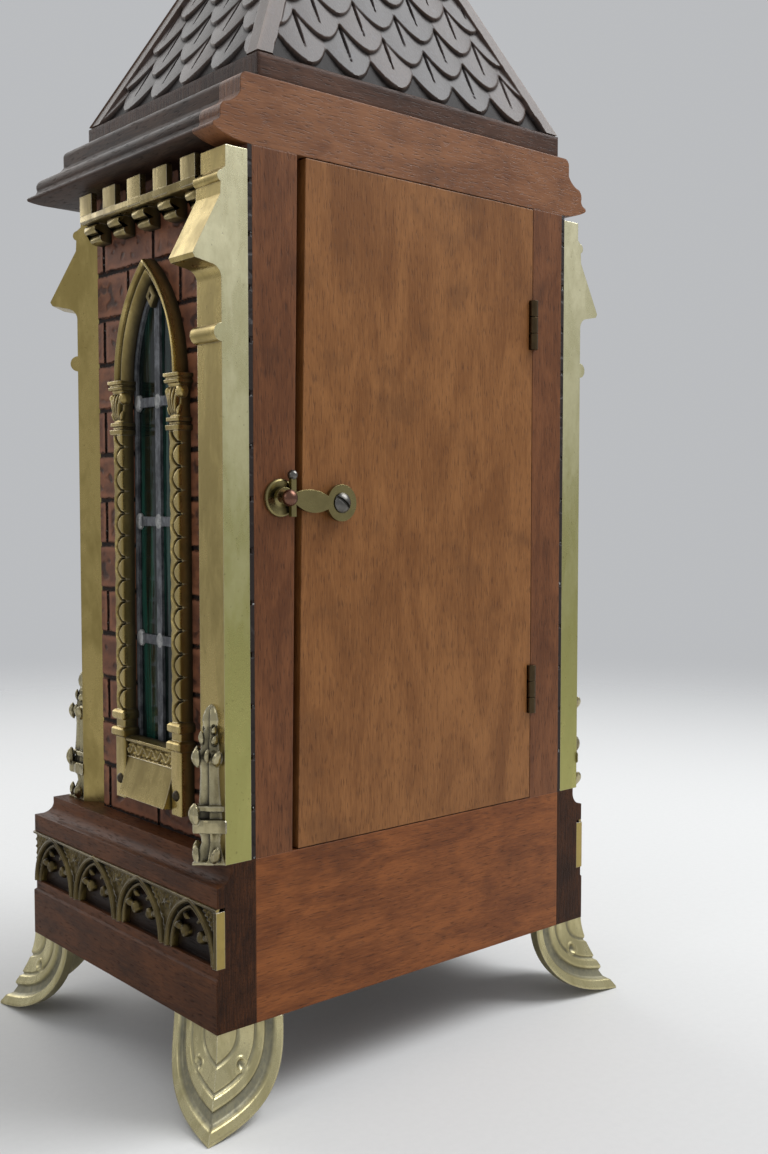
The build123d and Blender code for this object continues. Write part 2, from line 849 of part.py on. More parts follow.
def roof_slope(half, run, turn):
    """One carved roof face: a mitred board, a plain strip along each hip and rows of rounded slates."""
    length = sqrt(run**2 + roof_rise**2)
    pitch_angle = degrees(atan2(roof_rise, run))
    base = Plane(origin=(0, roof_mid_y, roof_base)).rotated((0, 0, turn))
    foot = base.from_local_coords((0, run, 0))
    face = Plane(
        origin=foot,
        x_dir=base.from_local_coords((-1, 0, 0)) - base.from_local_coords((0, 0, 0)),
        z_dir=base.from_local_coords((0, sin(radians(pitch_angle)), cos(radians(pitch_angle))))
        - base.from_local_coords((0, 0, 0)),
    )
    inset = hip_width * length / sqrt(length**2 + half**2)
    row_rise = slate_rise / sin(radians(pitch_angle))
    tilt = degrees(atan2(slate_lift, row_rise + slate_tip))

    def triangle(low, width, mode):
        with BuildLine() as outline:
            Polyline((-width, low), (width, low), (0, low + length * width / half), close=True)
        make_face(outline.edges(), mode=mode)

    with BuildSketch(face) as drawn:
        triangle(0, half, Mode.ADD)
    extrude(drawn.sketch, amount=-slope_board)
    with BuildSketch(face) as drawn:
        triangle(0, half, Mode.ADD)
        triangle(0, half - hip_width, Mode.SUBTRACT)
    extrude(drawn.sketch, amount=hip_lift)
    rows = int((length * (half - inset) / half - slate_tip) // row_rise)
    for k in range(rows):
        low = k * row_rise + 0.8
        count = int(half // slate_width) + 2
        row_plane = Plane(
            origin=face.from_local_coords((0, low, slate_lift)),
            x_dir=face.x_dir,
            z_dir=face.z_dir * cos(radians(tilt)) + face.y_dir * sin(radians(tilt)),
        )
        shift = 0.5 * (k % 2)
        with BuildSketch(row_plane) as drawn:
            with BuildLine() as outline:
                left = (-count + shift) * slate_width
                high = row_rise + slate_tip
                Polyline((left, slate_tip), (left, high), (left + 2 * count * slate_width, high))
                Line((left + 2 * count * slate_width, high), (left + 2 * count * slate_width, slate_tip))
                for j in range(2 * count):
                    start = left + j * slate_width
                    ThreePointArc(
                        (start, slate_tip), (start + slate_width / 2, 0), (start + slate_width, slate_tip)
                    )
            make_face(outline.edges())
            with BuildLine() as outline:
                width = half - hip_width
                Polyline((-width, -low), (width, -low), (0, length * width / half - low), close=True)
            make_face(outline.edges(), mode=Mode.INTERSECT)
        extrude(drawn.sketch, amount=-slate_thickness)
    for side in (-1, 1):
        hip = Plane(
            origin=(0, roof_mid_y, roof_base),
            x_dir=(0, 0, 1),
            z_dir=base.from_local_coords((side * run, half, 0)) - base.from_local_coords((0, 0, 0)),
        )
        split(bisect_by=hip, keep=Keep.TOP)
    split(bisect_by=Plane.XY.offset(roof_base), keep=Keep.TOP)
    split(bisect_by=Plane.XY.offset(roof_cut_z), keep=Keep.BOTTOM)


slope_half = roof_half_width - roof_inset
slope_run = roof_depth / 2 - roof_inset
roof_cut_z = roof_apex - roof_cut_radius * roof_rise / slope_run

with BuildPart() as roof_slope_back:
    roof_slope(slope_half, slope_run, 0)

with BuildPart() as roof_slope_front:
    roof_slope(slope_half, slope_run, 180)

with BuildPart() as roof_slope_right:
    roof_slope(slope_run, slope_half, -90)

with BuildPart() as roof_slope_left:
    roof_slope(slope_run, slope_half, 90)

with BuildPart() as roof_finial:
    with BuildSketch(upright(roof_mid_y)):
        with BuildLine():
            ball = finial_ball_radius
            low = roof_cut_z
            top = low + finial_height
            Polyline(
                (0, top), (0, low), (roof_cut_radius, low), (roof_cut_radius, low + 1.6), (2.2, low + 3.4)
            )
            Line((2.2, low + 3.4), (2.2, low + 5.0))
            ThreePointArc((2.2, low + 5.0), (ball, low + 5.0 + ball * 0.92), (1.6, low + 5.0 + ball * 1.9))
            Polyline((1.6, low + 5.0 + ball * 1.9), (0.5, top), (0, top))
        make_face()
    revolve(axis=Axis((0, roof_mid_y, 0), (0, 0, 1)))


# Feet
foot_x = plinth_width / 2
foot_mitre = Plane(origin=(foot_x, back_y, 0), x_dir=(0, 0, 1), z_dir=(1, -1, 0))
foot_flare = [
    (0.0, foot_height),
    (0.13 * foot_toe, 0.72 * foot_height),
    (0.36 * foot_toe, 0.43 * foot_height),
    (0.72 * foot_toe, 0.19 * foot_height),
    (foot_toe, 0.0),
]


def flare_band(inner, outer):
    """Slice of the flared foot between two outward shifts of its face."""
    with BuildLine() as outline:
        Spline([(u + outer, z) for u, z in foot_flare])
        Line((foot_toe + outer, 0), (foot_toe + inner, 0))
        Spline([(u + inner, z) for u, z in reversed(foot_flare)])
        Line((inner, foot_height), (outer, foot_height))
    make_face(outline.edges())


def wing_outline(scale, mode=Mode.ADD):
    """The outline of one wing, half a pointed arch hung upside down, shrunk to the corner by scale."""
    width = scale * foot_wing
    fall = scale * foot_height
    drop = foot_height - fall
    tip = foot_x + scale * foot_flat
    end = foot_x + 2 * foot_toe
    with BuildLine() as outline:
        Bezier(
            (foot_x - width, foot_height),
            (foot_x - width, foot_height - 0.72 * fall),
            (foot_x - 0.38 * width, foot_height - 0.88 * fall),
            (tip, drop),
        )
        Polyline((tip, drop), (end, drop), (end, foot_height), (foot_x - width, foot_height))
    make_face(outline.edges(), mode=mode)


foot_side = Plane(origin=(foot_x - foot_wing, back_y, 0), x_dir=(0, 1, 0), z_dir=(1, 0, 0))

with BuildPart() as foot_grooves:
    with BuildSketch(foot_side):
        flare_band(-foot_groove, foot_groove)
    extrude(amount=foot_wing + 2 * foot_toe)
    with BuildSketch(upright(back_y + 3 * foot_toe)):
        for outer, inner in ((0.82, 0.72), (0.60, 0.52), (0.38, 0.26)):
            wing_outline(outer)
            wing_outline(inner, mode=Mode.SUBTRACT)
    extrude(amount=4 * foot_toe, mode=Mode.INTERSECT)

with BuildPart() as foot_back_right:
    with BuildSketch(foot_side):
        flare_band(-foot_shell, 0)
    extrude(amount=foot_wing + 2 * foot_toe)
    with BuildSketch(upright(back_y + 3 * foot_toe)):
        wing_outline(1.0)
    extrude(amount=5 * foot_toe, mode=Mode.INTERSECT)
    add(foot_grooves.part, mode=Mode.SUBTRACT)
    split(bisect_by=foot_mitre, keep=Keep.BOTTOM)
    mirror(about=foot_mitre)

with BuildPart() as foot_back_left:
    mirror(foot_back_right.part, about=Plane.YZ)

with BuildPart() as foot_front_right:
    mirror(foot_back_right.part, about=Plane.XZ)

with BuildPart() as foot_front_left:
    mirror(foot_back_left.part, about=Plane.XZ)

# Buttresses and their pinnacles: square to the side at the back, diagonal on the front corners
rear_seat = Plane(
    origin=(facing_half, back_y - buttress_width / 2, 0), x_dir=(1, 0, 0), z_dir=(0, 0, 1)
)
corner_seat = Plane(
    origin=(facing_half - corner_chamfer / 2, facing_front_y + corner_chamfer / 2, 0),
    x_dir=(1, -1, 0),
    z_dir=(0, 0, 1),
)

with BuildPart() as buttresses:
    buttress(rear_seat)
    buttress(corner_seat)
    mirror(about=Plane.YZ)

with BuildPart() as pinnacles:
    pinnacle(rear_seat)
    pinnacle(corner_seat)
    mirror(about=Plane.YZ)

# Brass trim of the walls and the plinth
with BuildPart() as battlements:
    battlement((back_y - buttress_width + chamfer_start_y) / 2, side_merlons, sideways(facing_half))
    mirror(about=Plane.YZ)
    battlement(0, front_merlons, upright(facing_front_y))

frieze_x = plinth_width / 2 - frieze_recess
frieze_front_y = frieze_recess - plinth_depth / 2
frieze_reach = frieze_plate + frieze_rib
side_frieze_length = back_y - frieze_front_y + frieze_reach

with BuildPart() as arcade_friezes:
    arcade(side_frieze_length, back_y - side_frieze_length / 2, side_arches, sideways(frieze_x))
    mirror(about=Plane.YZ)
    arcade(2 * (frieze_x - running_fit), 0, front_arches, upright(frieze_front_y))

# Windows
with BuildPart() as window_frames:
    window_frame(window_y, spring_z, capital_bottom, sideways(facing_half))
    mirror(about=Plane.YZ)
    for side in (-1, 1):
        window_frame(side * front_window_x, front_spring_z, front_capital_bottom, upright(facing_front_y))

glass_face_x = facing_half - glass_setback
glass_face_y = facing_front_y + glass_setback

glass_half = window_half - running_fit
glass_bottom = window_bottom + running_fit

with BuildPart() as window_glass:
    with BuildSketch(sideways(glass_face_x - glass_thickness)):
        lancet(window_y, glass_half, glass_bottom, spring_z)
    extrude(amount=glass_thickness)
    mirror(about=Plane.YZ)
    with BuildSketch(upright(glass_face_y + glass_thickness)):
        for side in (-1, 1):
            lancet(side * front_window_x, glass_half, glass_bottom, front_spring_z)
    extrude(amount=glass_thickness)

with BuildPart() as lead_cames:
    came_lattice(window_y, window_bottom, spring_z, sideways(glass_face_x))
    mirror(about=Plane.YZ)
    for side in (-1, 1):
        came_lattice(side * front_window_x, window_bottom, front_spring_z, upright(glass_face_y))

# Back door
hook_back_y = back_y + hook_standoff + part_gap
hook_face_y = hook_back_y + hook_thickness

with BuildPart() as back_door:
    with BuildSketch(upright(back_y)):
        with BuildLine():
            Polyline(
                (door_edge_x, plinth_top + door_end_gap),
                (latch_edge + stile_taper / 2 - latch_gap_bottom, plinth_top + door_end_gap),
                (latch_edge - stile_taper / 2 - latch_gap_top, body_top - door_end_gap),
                (door_edge_x, body_top - door_end_gap),
                close=True,
            )
        make_face()
        with Locations((latch_x, latch_z)):
            Circle(pivot_radius, mode=Mode.SUBTRACT)
    extrude(amount=back_board)
    for level in hinge_levels:
        with BuildSketch(Plane.XY.offset(level - hinge_height / 2)):
            with Locations((hinge_x, hinge_y)):
                Circle(knuckle_radius + part_gap)
            with Locations((door_leaf_x, leaf_mid_y + part_gap)):
                Rectangle(leaf_thickness, leaf_depth + 2 * part_gap)
        extrude(amount=hinge_height, mode=Mode.SUBTRACT)


def hinge_leaf(x, level, sections, bore):
    """Leaf of a butt hinge with its share of the knuckle; sections are the low ends of its barrels."""
    low = level - hinge_height / 2
    with BuildSketch(Plane.XY.offset(low)) as face:
        with Locations((x, leaf_mid_y)):
            Rectangle(leaf_thickness, leaf_depth)
    extrude(face.sketch, amount=hinge_height)
    for start in sections:
        with BuildSketch(Plane.XY.offset(low + start)) as face:
            with Locations((hinge_x, hinge_y)):
                Circle(knuckle_radius)
            with Locations((x, (leaf_top_y + hinge_y) / 2)):
                Rectangle(leaf_thickness, hinge_y - leaf_top_y)
            with Locations((hinge_x, hinge_y)):
                Circle(bore, mode=Mode.SUBTRACT)
        extrude(face.sketch, amount=knuckle_third)


with BuildPart() as hinge_case_leaves:
    for level in hinge_levels:
        hinge_leaf(case_leaf_x, level, (0, 2 * (knuckle_third + part_gap)), hinge_pin_radius)

with BuildPart() as hinge_door_leaves:
    for level in hinge_levels:
        hinge_leaf(door_leaf_x, level, (knuckle_third + part_gap,), hinge_pin_radius + running_fit)

with BuildPart() as hinge_pins:
    for level in hinge_levels:
        with BuildSketch(Plane.XY.offset(level - hinge_height / 2)):
            with Locations((hinge_x, hinge_y)):
                Circle(hinge_pin_radius)
        extrude(amount=hinge_height)

# Latch
bar_x = stud_x - stud_neck_radius - part_gap - bar_width / 2 - 0.6
crook_inner = stud_neck_radius + part_gap

with BuildPart() as latch_hook:
    with BuildSketch(upright(hook_face_y)):
        with Locations((latch_x, latch_z)):
            Circle(eye_radius)
        with BuildLine():
            low = (latch_x + eye_radius - 1.2, latch_z - 1.6)
            high = (latch_x + eye_radius - 1.2, latch_z + 1.8)
            middle_x = (latch_x + eye_radius + bar_x) / 2
            ThreePointArc(low, (middle_x, latch_z - 3.2), (bar_x, stud_z - 1.2))
            Line((bar_x, stud_z - 1.2), (bar_x, stud_z + 1.4))
            ThreePointArc((bar_x, stud_z + 1.4), (middle_x, latch_z + 4.4), high)
            Line(high, low)
        make_face()
        with Locations((bar_x, (bar_bottom_z + bar_top_z) / 2)):
            Rectangle(bar_width, bar_top_z - bar_bottom_z)
        with BuildLine():
            CenterArc((stud_x, stud_z), crook_inner + bar_width * 0.8, 0, 180)
            CenterArc((stud_x, stud_z), crook_inner, 0, 180)
            Line((stud_x + crook_inner, stud_z), (stud_x + crook_inner + bar_width * 0.8, stud_z))
            Line((stud_x - crook_inner, stud_z), (stud_x - crook_inner - bar_width * 0.8, stud_z))
        make_face()
        with Locations((latch_x, latch_z)):
            Circle(pivot_radius + running_fit, mode=Mode.SUBTRACT)
    extrude(amount=hook_thickness)
    with Locations((bar_x, hook_face_y - hook_thickness / 2, bar_top_z + 0.7 * ball_radius)):
        Sphere(ball_radius)

with BuildPart() as latch_screw:
    head_y = hook_face_y + part_gap
    rod(latch_x, latch_z, pivot_radius, head_y, inner_back_y)
    rod(latch_x, latch_z, 1.8 * pivot_radius, back_y + hook_standoff, back_y)
    rod(latch_x, latch_z, screw_head_radius, head_y + screw_head_height, head_y)
    fillet(edges().group_by(Axis.Y)[-1], 0.6 * screw_head_height)
    slot_back_y = head_y + screw_head_height
    slot_front_y = head_y + 0.5 * screw_head_height
    slab(latch_x, latch_z, 2 * screw_head_radius, 0.8, slot_back_y, slot_front_y, mode=Mode.SUBTRACT)

with BuildPart() as latch_stud:
    with BuildSketch(Plane(origin=(stud_x, back_y, stud_z), x_dir=(1, 0, 0), z_dir=(0, 0, 1))):
        with BuildLine():
            head_low = hook_face_y + part_gap - back_y
            head_dome = head_low + stud_head_collar
            Polyline(
                (0, head_dome + stud_head_radius),
                (0, 0),
                (rosette_radius, 0),
                (rosette_radius, 0.4 * rosette_thickness),
                (0.6 * rosette_radius, rosette_thickness),
                (stud_neck_radius, rosette_thickness),
                (stud_neck_radius, head_low),
                (0.7 * stud_head_radius, head_low),
                (stud_head_radius, head_dome),
            )
            ThreePointArc(
                (stud_head_radius, head_dome),
                (stud_head_radius * cos(pi / 4), head_dome + stud_head_radius * sin(pi / 4)),
                (0, head_dome + stud_head_radius),
            )
        make_face()
    revolve(axis=Axis((stud_x, back_y, stud_z), (0, 1, 0)))

# Dial, bezel and glass
dial_face_y = facing_front_y - dial_thickness
bezel_hinge_y = dial_face_y - part_gap - bezel_lug_radius
bezel_back_y = dial_face_y - part_gap
bezel_face_y = bezel_back_y - bezel_depth
glass_seat = bezel_inner_radius + 2.0
glass_front_y = bezel_face_y + 1.2
lug_spacing = bezel_lug_height / 2 + part_gap
cannon_bore = centre_arbor_radius + running_fit
cannon_radius = cannon_bore + cannon_wall
pipe_bore = cannon_radius + running_fit
pipe_radius = pipe_bore + pipe_wall

with BuildPart() as dial_plate:
    rod(0, dial_z, dial_radius, facing_front_y, dial_face_y)
    slab(bezel_hinge_x / 2 - 1, dial_z, -bezel_hinge_x, 2 * lug_spacing + 6, facing_front_y, dial_face_y)
    for side in (-1, 1):
        low = dial_z + side * (lug_spacing + 1.5) - 1.5
        with BuildSketch(Plane.XY.offset(low)):
            with Locations((bezel_hinge_x, bezel_hinge_y)):
                Circle(bezel_lug_radius)
            with Locations((bezel_hinge_x, (bezel_hinge_y + dial_face_y) / 2)):
                Rectangle(2 * bezel_lug_radius, dial_face_y - bezel_hinge_y)
        extrude(amount=3.0)
    with BuildSketch(Plane.XY.offset(dial_z - lug_spacing - 3.0)):
        with Locations((bezel_hinge_x, bezel_hinge_y)):
            Circle(bezel_pin_radius)
    extrude(amount=2 * lug_spacing + 6.0)
    rod(0, dial_z, pipe_radius + 4 * running_fit, facing_front_y, dial_face_y, mode=Mode.SUBTRACT)
    rod(0, winding_z, winding_radius + 0.5, facing_front_y, dial_face_y, mode=Mode.SUBTRACT)

with BuildPart() as bezel:
    with BuildSketch(Plane(origin=(0, 0, dial_z), x_dir=(1, 0, 0), z_dir=(0, 0, 1))):
        with BuildLine():
            Polyline(
                (glass_seat, glass_front_y),
                (glass_seat, bezel_back_y),
                (bezel_outer_radius, bezel_back_y),
                (bezel_outer_radius, bezel_face_y + 3.0),
            )
            ThreePointArc(
                (bezel_outer_radius, bezel_face_y + 3.0),
                (bezel_outer_radius - 1.4, bezel_face_y + 0.7),
                (bezel_outer_radius - 4.0, bezel_face_y),
            )
            Polyline(
                (bezel_outer_radius - 4.0, bezel_face_y),
                (bezel_inner_radius, bezel_face_y + 0.4),
                (bezel_inner_radius, glass_front_y),
                (glass_seat, glass_front_y),
            )
        make_face()
    revolve(axis=Axis((0, 0, dial_z), (0, 1, 0)))
    with BuildSketch(Plane.XY.offset(dial_z - bezel_lug_height / 2)):
        with Locations((bezel_hinge_x, bezel_hinge_y)):
            Circle(bezel_lug_radius)
        with BuildLine():
            Polyline(
                (bezel_hinge_x, bezel_hinge_y - bezel_lug_radius),
                (1.0 - bezel_outer_radius, bezel_hinge_y - bezel_lug_radius),
                (1.0 - bezel_outer_radius, bezel_hinge_y + 0.6 * bezel_lug_radius),
                (bezel_hinge_x, bezel_hinge_y + 0.6 * bezel_lug_radius),
                close=True,
            )
        make_face()
        with Locations((bezel_hinge_x, bezel_hinge_y)):
            Circle(bezel_pin_radius + running_fit, mode=Mode.SUBTRACT)
    extrude(amount=bezel_lug_height)

with BuildPart() as dial_glass:
    rod(0, dial_z, glass_seat - running_fit, glass_front_y + watch_glass, glass_front_y)

# Hands
hour_hand_back = dial_face_y - 1.3
minute_hand_back = hour_hand_back - hand_thickness - 1.3
arbor_front_y = minute_hand_back - hand_thickness - 0.5


def hand(length, hub, bore, back):
    """Pointed hand with a round hub, a slim stem and a lozenge below its tip."""
    with BuildSketch(upright(back)) as face:
        with Locations((0, dial_z)):
            Circle(hub)
        with BuildLine() as outline:
            Polyline(
                (-0.9, dial_z),
                (-0.7, dial_z + 0.55 * length),
                (-2.4, dial_z + 0.70 * length),
                (0, dial_z + length),
                (2.4, dial_z + 0.70 * length),
                (0.7, dial_z + 0.55 * length),
                (0.9, dial_z),
                close=True,
            )
        make_face(outline.edges())
        with Locations((0, dial_z)):
            Circle(bore, mode=Mode.SUBTRACT)
    extrude(face.sketch, amount=hand_thickness)


with BuildPart() as hour_hand:
    hand(hour_hand_length, pipe_radius + 1.8, pipe_radius, hour_hand_back)

with BuildPart() as minute_hand:
    hand(minute_hand_length, cannon_radius + 1.6, cannon_radius, minute_hand_back)

# Arbor positions and depths of the movement
plate_front_y = inner_front_y + plate_standoff
plate_back_y = plate_front_y + plate_thickness
rear_front_y = plate_back_y + plate_spacing
rear_back_y = rear_front_y + plate_thickness
third_reach = module * (centre_teeth + third_pinion_teeth) / 2
third_x = third_reach * cos(radians(third_angle))
third_z = dial_z + third_reach * sin(radians(third_angle))
escape_reach = module * (third_teeth + escape_pinion_teeth) / 2
escape_z = third_z + sqrt(escape_reach**2 - third_x**2)
escape_angle = degrees(atan2(escape_z - third_z, -third_x))
pallet_z = escape_z + pallet_rise
motion_reach = module * (cannon_teeth + minute_wheel_teeth) / 2
pendulum_y = rear_back_y + 10.0
pillar_spots = [
    (side * (plate_half - pillar_inset), level)
    for side in (-1, 1)
    for level in (dial_z + plate_rise - pillar_inset, dial_z - plate_drop + pillar_inset)
]
cannon_back_y = plate_front_y - 1.2
minute_back_y = plate_front_y - 1.3
hour_back_y = cannon_back_y - 2.0


def plate_blank(front):
    """Movement plate with the pivot holes that both plates share."""
    slab(0, dial_z + (plate_rise - plate_drop) / 2, 2 * plate_half, plate_rise + plate_drop,
         front + plate_thickness, front)
    for x, z in ((third_x, third_z), (0, escape_z)):
        rod(x, z, pivot_pin_radius + running_fit, front + plate_thickness, front, mode=Mode.SUBTRACT)


with BuildPart() as front_plate:
    plate_blank(plate_front_y)
    rod(0, dial_z, cannon_bore, plate_back_y, plate_front_y, mode=Mode.SUBTRACT)
    rod(0, winding_z, winding_radius + running_fit, plate_back_y, plate_front_y, mode=Mode.SUBTRACT)
    rod(0, pallet_z, pivot_pin_radius + running_fit, plate_back_y, plate_front_y, mode=Mode.SUBTRACT)
    for x, z in pillar_spots:
        rod(x, z, pillar_radius, plate_front_y, inner_front_y)
    rod(motion_reach, dial_z, 2 * arbor_radius, plate_front_y, minute_back_y + part_gap)
    rod(motion_reach, dial_z, arbor_radius, plate_front_y, hour_back_y - 2.0)

with BuildPart() as back_plate:
    plate_blank(rear_front_y)
    rod(0, dial_z, pivot_pin_radius + running_fit, rear_back_y, rear_front_y, mode=Mode.SUBTRACT)
    rod(0, winding_z, arbor_radius + running_fit, rear_back_y, rear_front_y, mode=Mode.SUBTRACT)
    rod(0, pallet_z, arbor_radius + running_fit, rear_back_y, rear_front_y, mode=Mode.SUBTRACT)
    for x, z in pillar_spots:
        rod(x, z, pillar_radius, rear_front_y, plate_back_y)
    for side in (-1, 1):
        rod(side * (cock_half - 2.5), pallet_z + 6.0, 2.0, pendulum_y + 4.0, rear_back_y)
    slab(0, pallet_z + 2.0, 2 * cock_half, 13.0, pendulum_y + 6.0, pendulum_y + 4.0)
    rod(0, pallet_z, suspension_radius, pendulum_y + 4.0, pendulum_y - 2.0)

barrel_front_y = plate_back_y + 2.8
barrel_back_y = barrel_front_y + barrel_length

with BuildPart() as spring_barrel:
    rod(0, winding_z, barrel_radius, barrel_back_y, barrel_front_y)
    rod(0, winding_z, barrel_radius - barrel_wall, barrel_back_y - barrel_wall, barrel_front_y + barrel_wall,
        mode=Mode.SUBTRACT)
    with BuildSketch(upright(barrel_back_y + great_thickness)):
        toothed(0, winding_z, great_teeth, great_module, 90, wheel_tip, tooth_root)
    extrude(amount=great_thickness)
    rod(0, winding_z, winding_radius + running_fit, barrel_back_y + great_thickness, barrel_front_y,
        mode=Mode.SUBTRACT)

with BuildPart() as winding_arbor:
    rod(0, winding_z, winding_radius, rear_front_y - part_gap, dial_face_y + 4.0)
    rod(0, winding_z, arbor_radius, rear_back_y, rear_front_y - part_gap)
    slab(0, winding_z, winding_square, winding_square, dial_face_y + 4.0, dial_face_y - 0.6)
    with BuildSketch(upright(plate_front_y - part_gap)):
        toothed(0, winding_z, ratchet_teeth, module, 0, wheel_tip, tooth_root)
    extrude(amount=wheel_thickness)

with BuildPart() as centre_wheel:
    rod(0, dial_z, centre_arbor_radius, rear_front_y - part_gap, arbor_front_y)
    rod(0, dial_z, pivot_pin_radius, rear_back_y, rear_front_y - part_gap)
    wheel(0, dial_z, centre_teeth, module, third_angle, plate_back_y + 2.0, wheel_thickness, 4.0)
    pinion(0, dial_z, centre_pinion_teeth, great_module, -90 + 180 / centre_pinion_teeth,
           barrel_back_y + great_thickness + 1.0, great_thickness + 2.0)

with BuildPart() as cannon_pinion:
    pinion(0, dial_z, cannon_teeth, module, 180 / cannon_teeth, cannon_back_y, 1.6)
    rod(0, dial_z, cannon_radius, cannon_back_y, minute_hand_back - hand_thickness)
    rod(0, dial_z, cannon_bore, cannon_back_y, minute_hand_back - hand_thickness, mode=Mode.SUBTRACT)

with BuildPart() as third_wheel:
    rod(third_x, third_z, arbor_radius, rear_front_y - part_gap, plate_back_y + part_gap)
    rod(third_x, third_z, pivot_pin_radius, rear_back_y, plate_front_y)
    pinion(third_x, third_z, third_pinion_teeth, module, third_angle + 180 + 180 / third_pinion_teeth,
           plate_back_y + 2.6, wheel_thickness + 1.0)
    wheel(third_x, third_z, third_teeth, module, escape_angle, rear_front_y - 3.3, wheel_thickness, 4.0)

with BuildPart() as escape_wheel:
    rod(0, escape_z, arbor_radius, rear_front_y - part_gap, plate_back_y + part_gap)
    rod(0, escape_z, pivot_pin_radius, rear_back_y, plate_front_y)
    pinion(0, escape_z, escape_pinion_teeth, module, escape_angle + 180 + 180 / escape_pinion_teeth,
           rear_front_y - 2.7, wheel_thickness + 1.0)
    tooth = ((escape_radius - 1.5, 0.0), (escape_radius, 0.35), (escape_radius, 0.45))
    with BuildSketch(upright(rear_front_y - 10.8)):
        with BuildLine():
            Polyline(
                [
                    (radius * sin(2 * pi * (k + lead) / escape_teeth),
                     escape_z + radius * cos(2 * pi * (k + lead) / escape_teeth))
                    for k in range(escape_teeth)
                    for radius, lead in tooth
                ],
                close=True,
            )
        make_face()
    extrude(amount=wheel_thickness)

with BuildPart() as minute_wheel:
    wheel(motion_reach, dial_z, minute_wheel_teeth, module, 180, minute_back_y, wheel_thickness, 3.5)
    pinion(motion_reach, dial_z, minute_pinion_teeth, module, 180 + 180 / minute_pinion_teeth,
           minute_back_y - wheel_thickness, 2.2)
    stud_hole = arbor_radius + running_fit
    rod(motion_reach, dial_z, stud_hole, minute_back_y, hour_back_y - 2.0, mode=Mode.SUBTRACT)

with BuildPart() as hour_wheel:
    with BuildSketch(upright(hour_back_y)):
        toothed(0, dial_z, hour_teeth, module, 0, wheel_tip, tooth_root)
    extrude(amount=1.0)
    rod(0, dial_z, pipe_radius, hour_back_y, hour_hand_back - hand_thickness - 0.3)
    rod(0, dial_z, pipe_bore, hour_back_y, hour_hand_back - 2 * hand_thickness, mode=Mode.SUBTRACT)

# Pallets, crutch and pendulum
pallet_level = rear_front_y - 10.6
crutch_back_y = rear_back_y + 2.2
fork_gap = pendulum_rod_radius + part_gap

with BuildPart() as pallet_anchor:
    rod(0, pallet_z, arbor_radius, crutch_back_y, plate_back_y + part_gap)
    rod(0, pallet_z, pivot_pin_radius, plate_back_y + part_gap, plate_front_y)
    with BuildSketch(upright(pallet_level)):
        with BuildLine():
            reach = escape_radius + 1.0
            tip_x = reach * sin(radians(pallet_spread))
            tip_z = escape_z + reach * cos(radians(pallet_spread))
            ThreePointArc((-tip_x, tip_z), (0, pallet_z - 1.6), (tip_x, tip_z))
            Line((tip_x, tip_z), (tip_x + 1.6, tip_z + 0.6))
            ThreePointArc((tip_x + 1.6, tip_z + 0.6), (0, pallet_z + 2.4), (-tip_x - 1.6, tip_z + 0.6))
            Line((-tip_x - 1.6, tip_z + 0.6), (-tip_x, tip_z))
        make_face()
    extrude(amount=wheel_thickness + 0.4)
    slab(0, pallet_z - fork_drop / 2, 2.4, fork_drop + 2.4, crutch_back_y, crutch_back_y - 1.2)
    slab(0, pallet_z - fork_drop, 2 * fork_gap + 2.4, 2.4, crutch_back_y, crutch_back_y - 1.2)
    for side in (-1, 1):
        slab(side * (fork_gap + 0.6), pallet_z - fork_drop, 1.2, 2.4, pendulum_y + 2.0, crutch_back_y - 1.2)

with BuildPart() as pendulum:
    bob_z = pallet_z - pendulum_length
    with BuildSketch(Plane(origin=(0, pendulum_y, bob_z), x_dir=(1, 0, 0), z_dir=(0, 0, 1))):
        with BuildLine():
            bulge = bob_thickness / 2
            ThreePointArc((0, bulge), (0.6 * bob_radius, 0.72 * bulge), (bob_radius, 0.6))
            Line((bob_radius, 0.6), (bob_radius, -0.6))
            ThreePointArc((bob_radius, -0.6), (0.6 * bob_radius, -0.72 * bulge), (0, -bulge))
            Line((0, -bulge), (0, bulge))
        make_face()
    revolve(axis=Axis((0, pendulum_y, bob_z), (0, 1, 0)))
    with BuildSketch(Plane.XY.offset(bob_z - bob_radius)):
        with Locations((0, pendulum_y)):
            Circle(pendulum_rod_radius + running_fit)
    extrude(amount=2 * bob_radius, mode=Mode.SUBTRACT)
    rod(0, pallet_z, eye_ring_radius, pendulum_y + 1.5, pendulum_y - 1.5)
    with BuildSketch(Plane.XY.offset(bob_z - bob_radius - 6.0)):
        with Locations((0, pendulum_y)):
            Circle(pendulum_rod_radius)
    extrude(amount=pendulum_length + bob_radius + 6.0 - 1.8)
    rod(0, pallet_z, suspension_radius + running_fit, pendulum_y + 1.5, pendulum_y - 1.5, mode=Mode.SUBTRACT)
    with BuildSketch(Plane.XY.offset(bob_z - bob_radius - 2.7)):
        with Locations((0, pendulum_y)):
            Circle(2.5 * pendulum_rod_radius)
    extrude(amount=2.4)

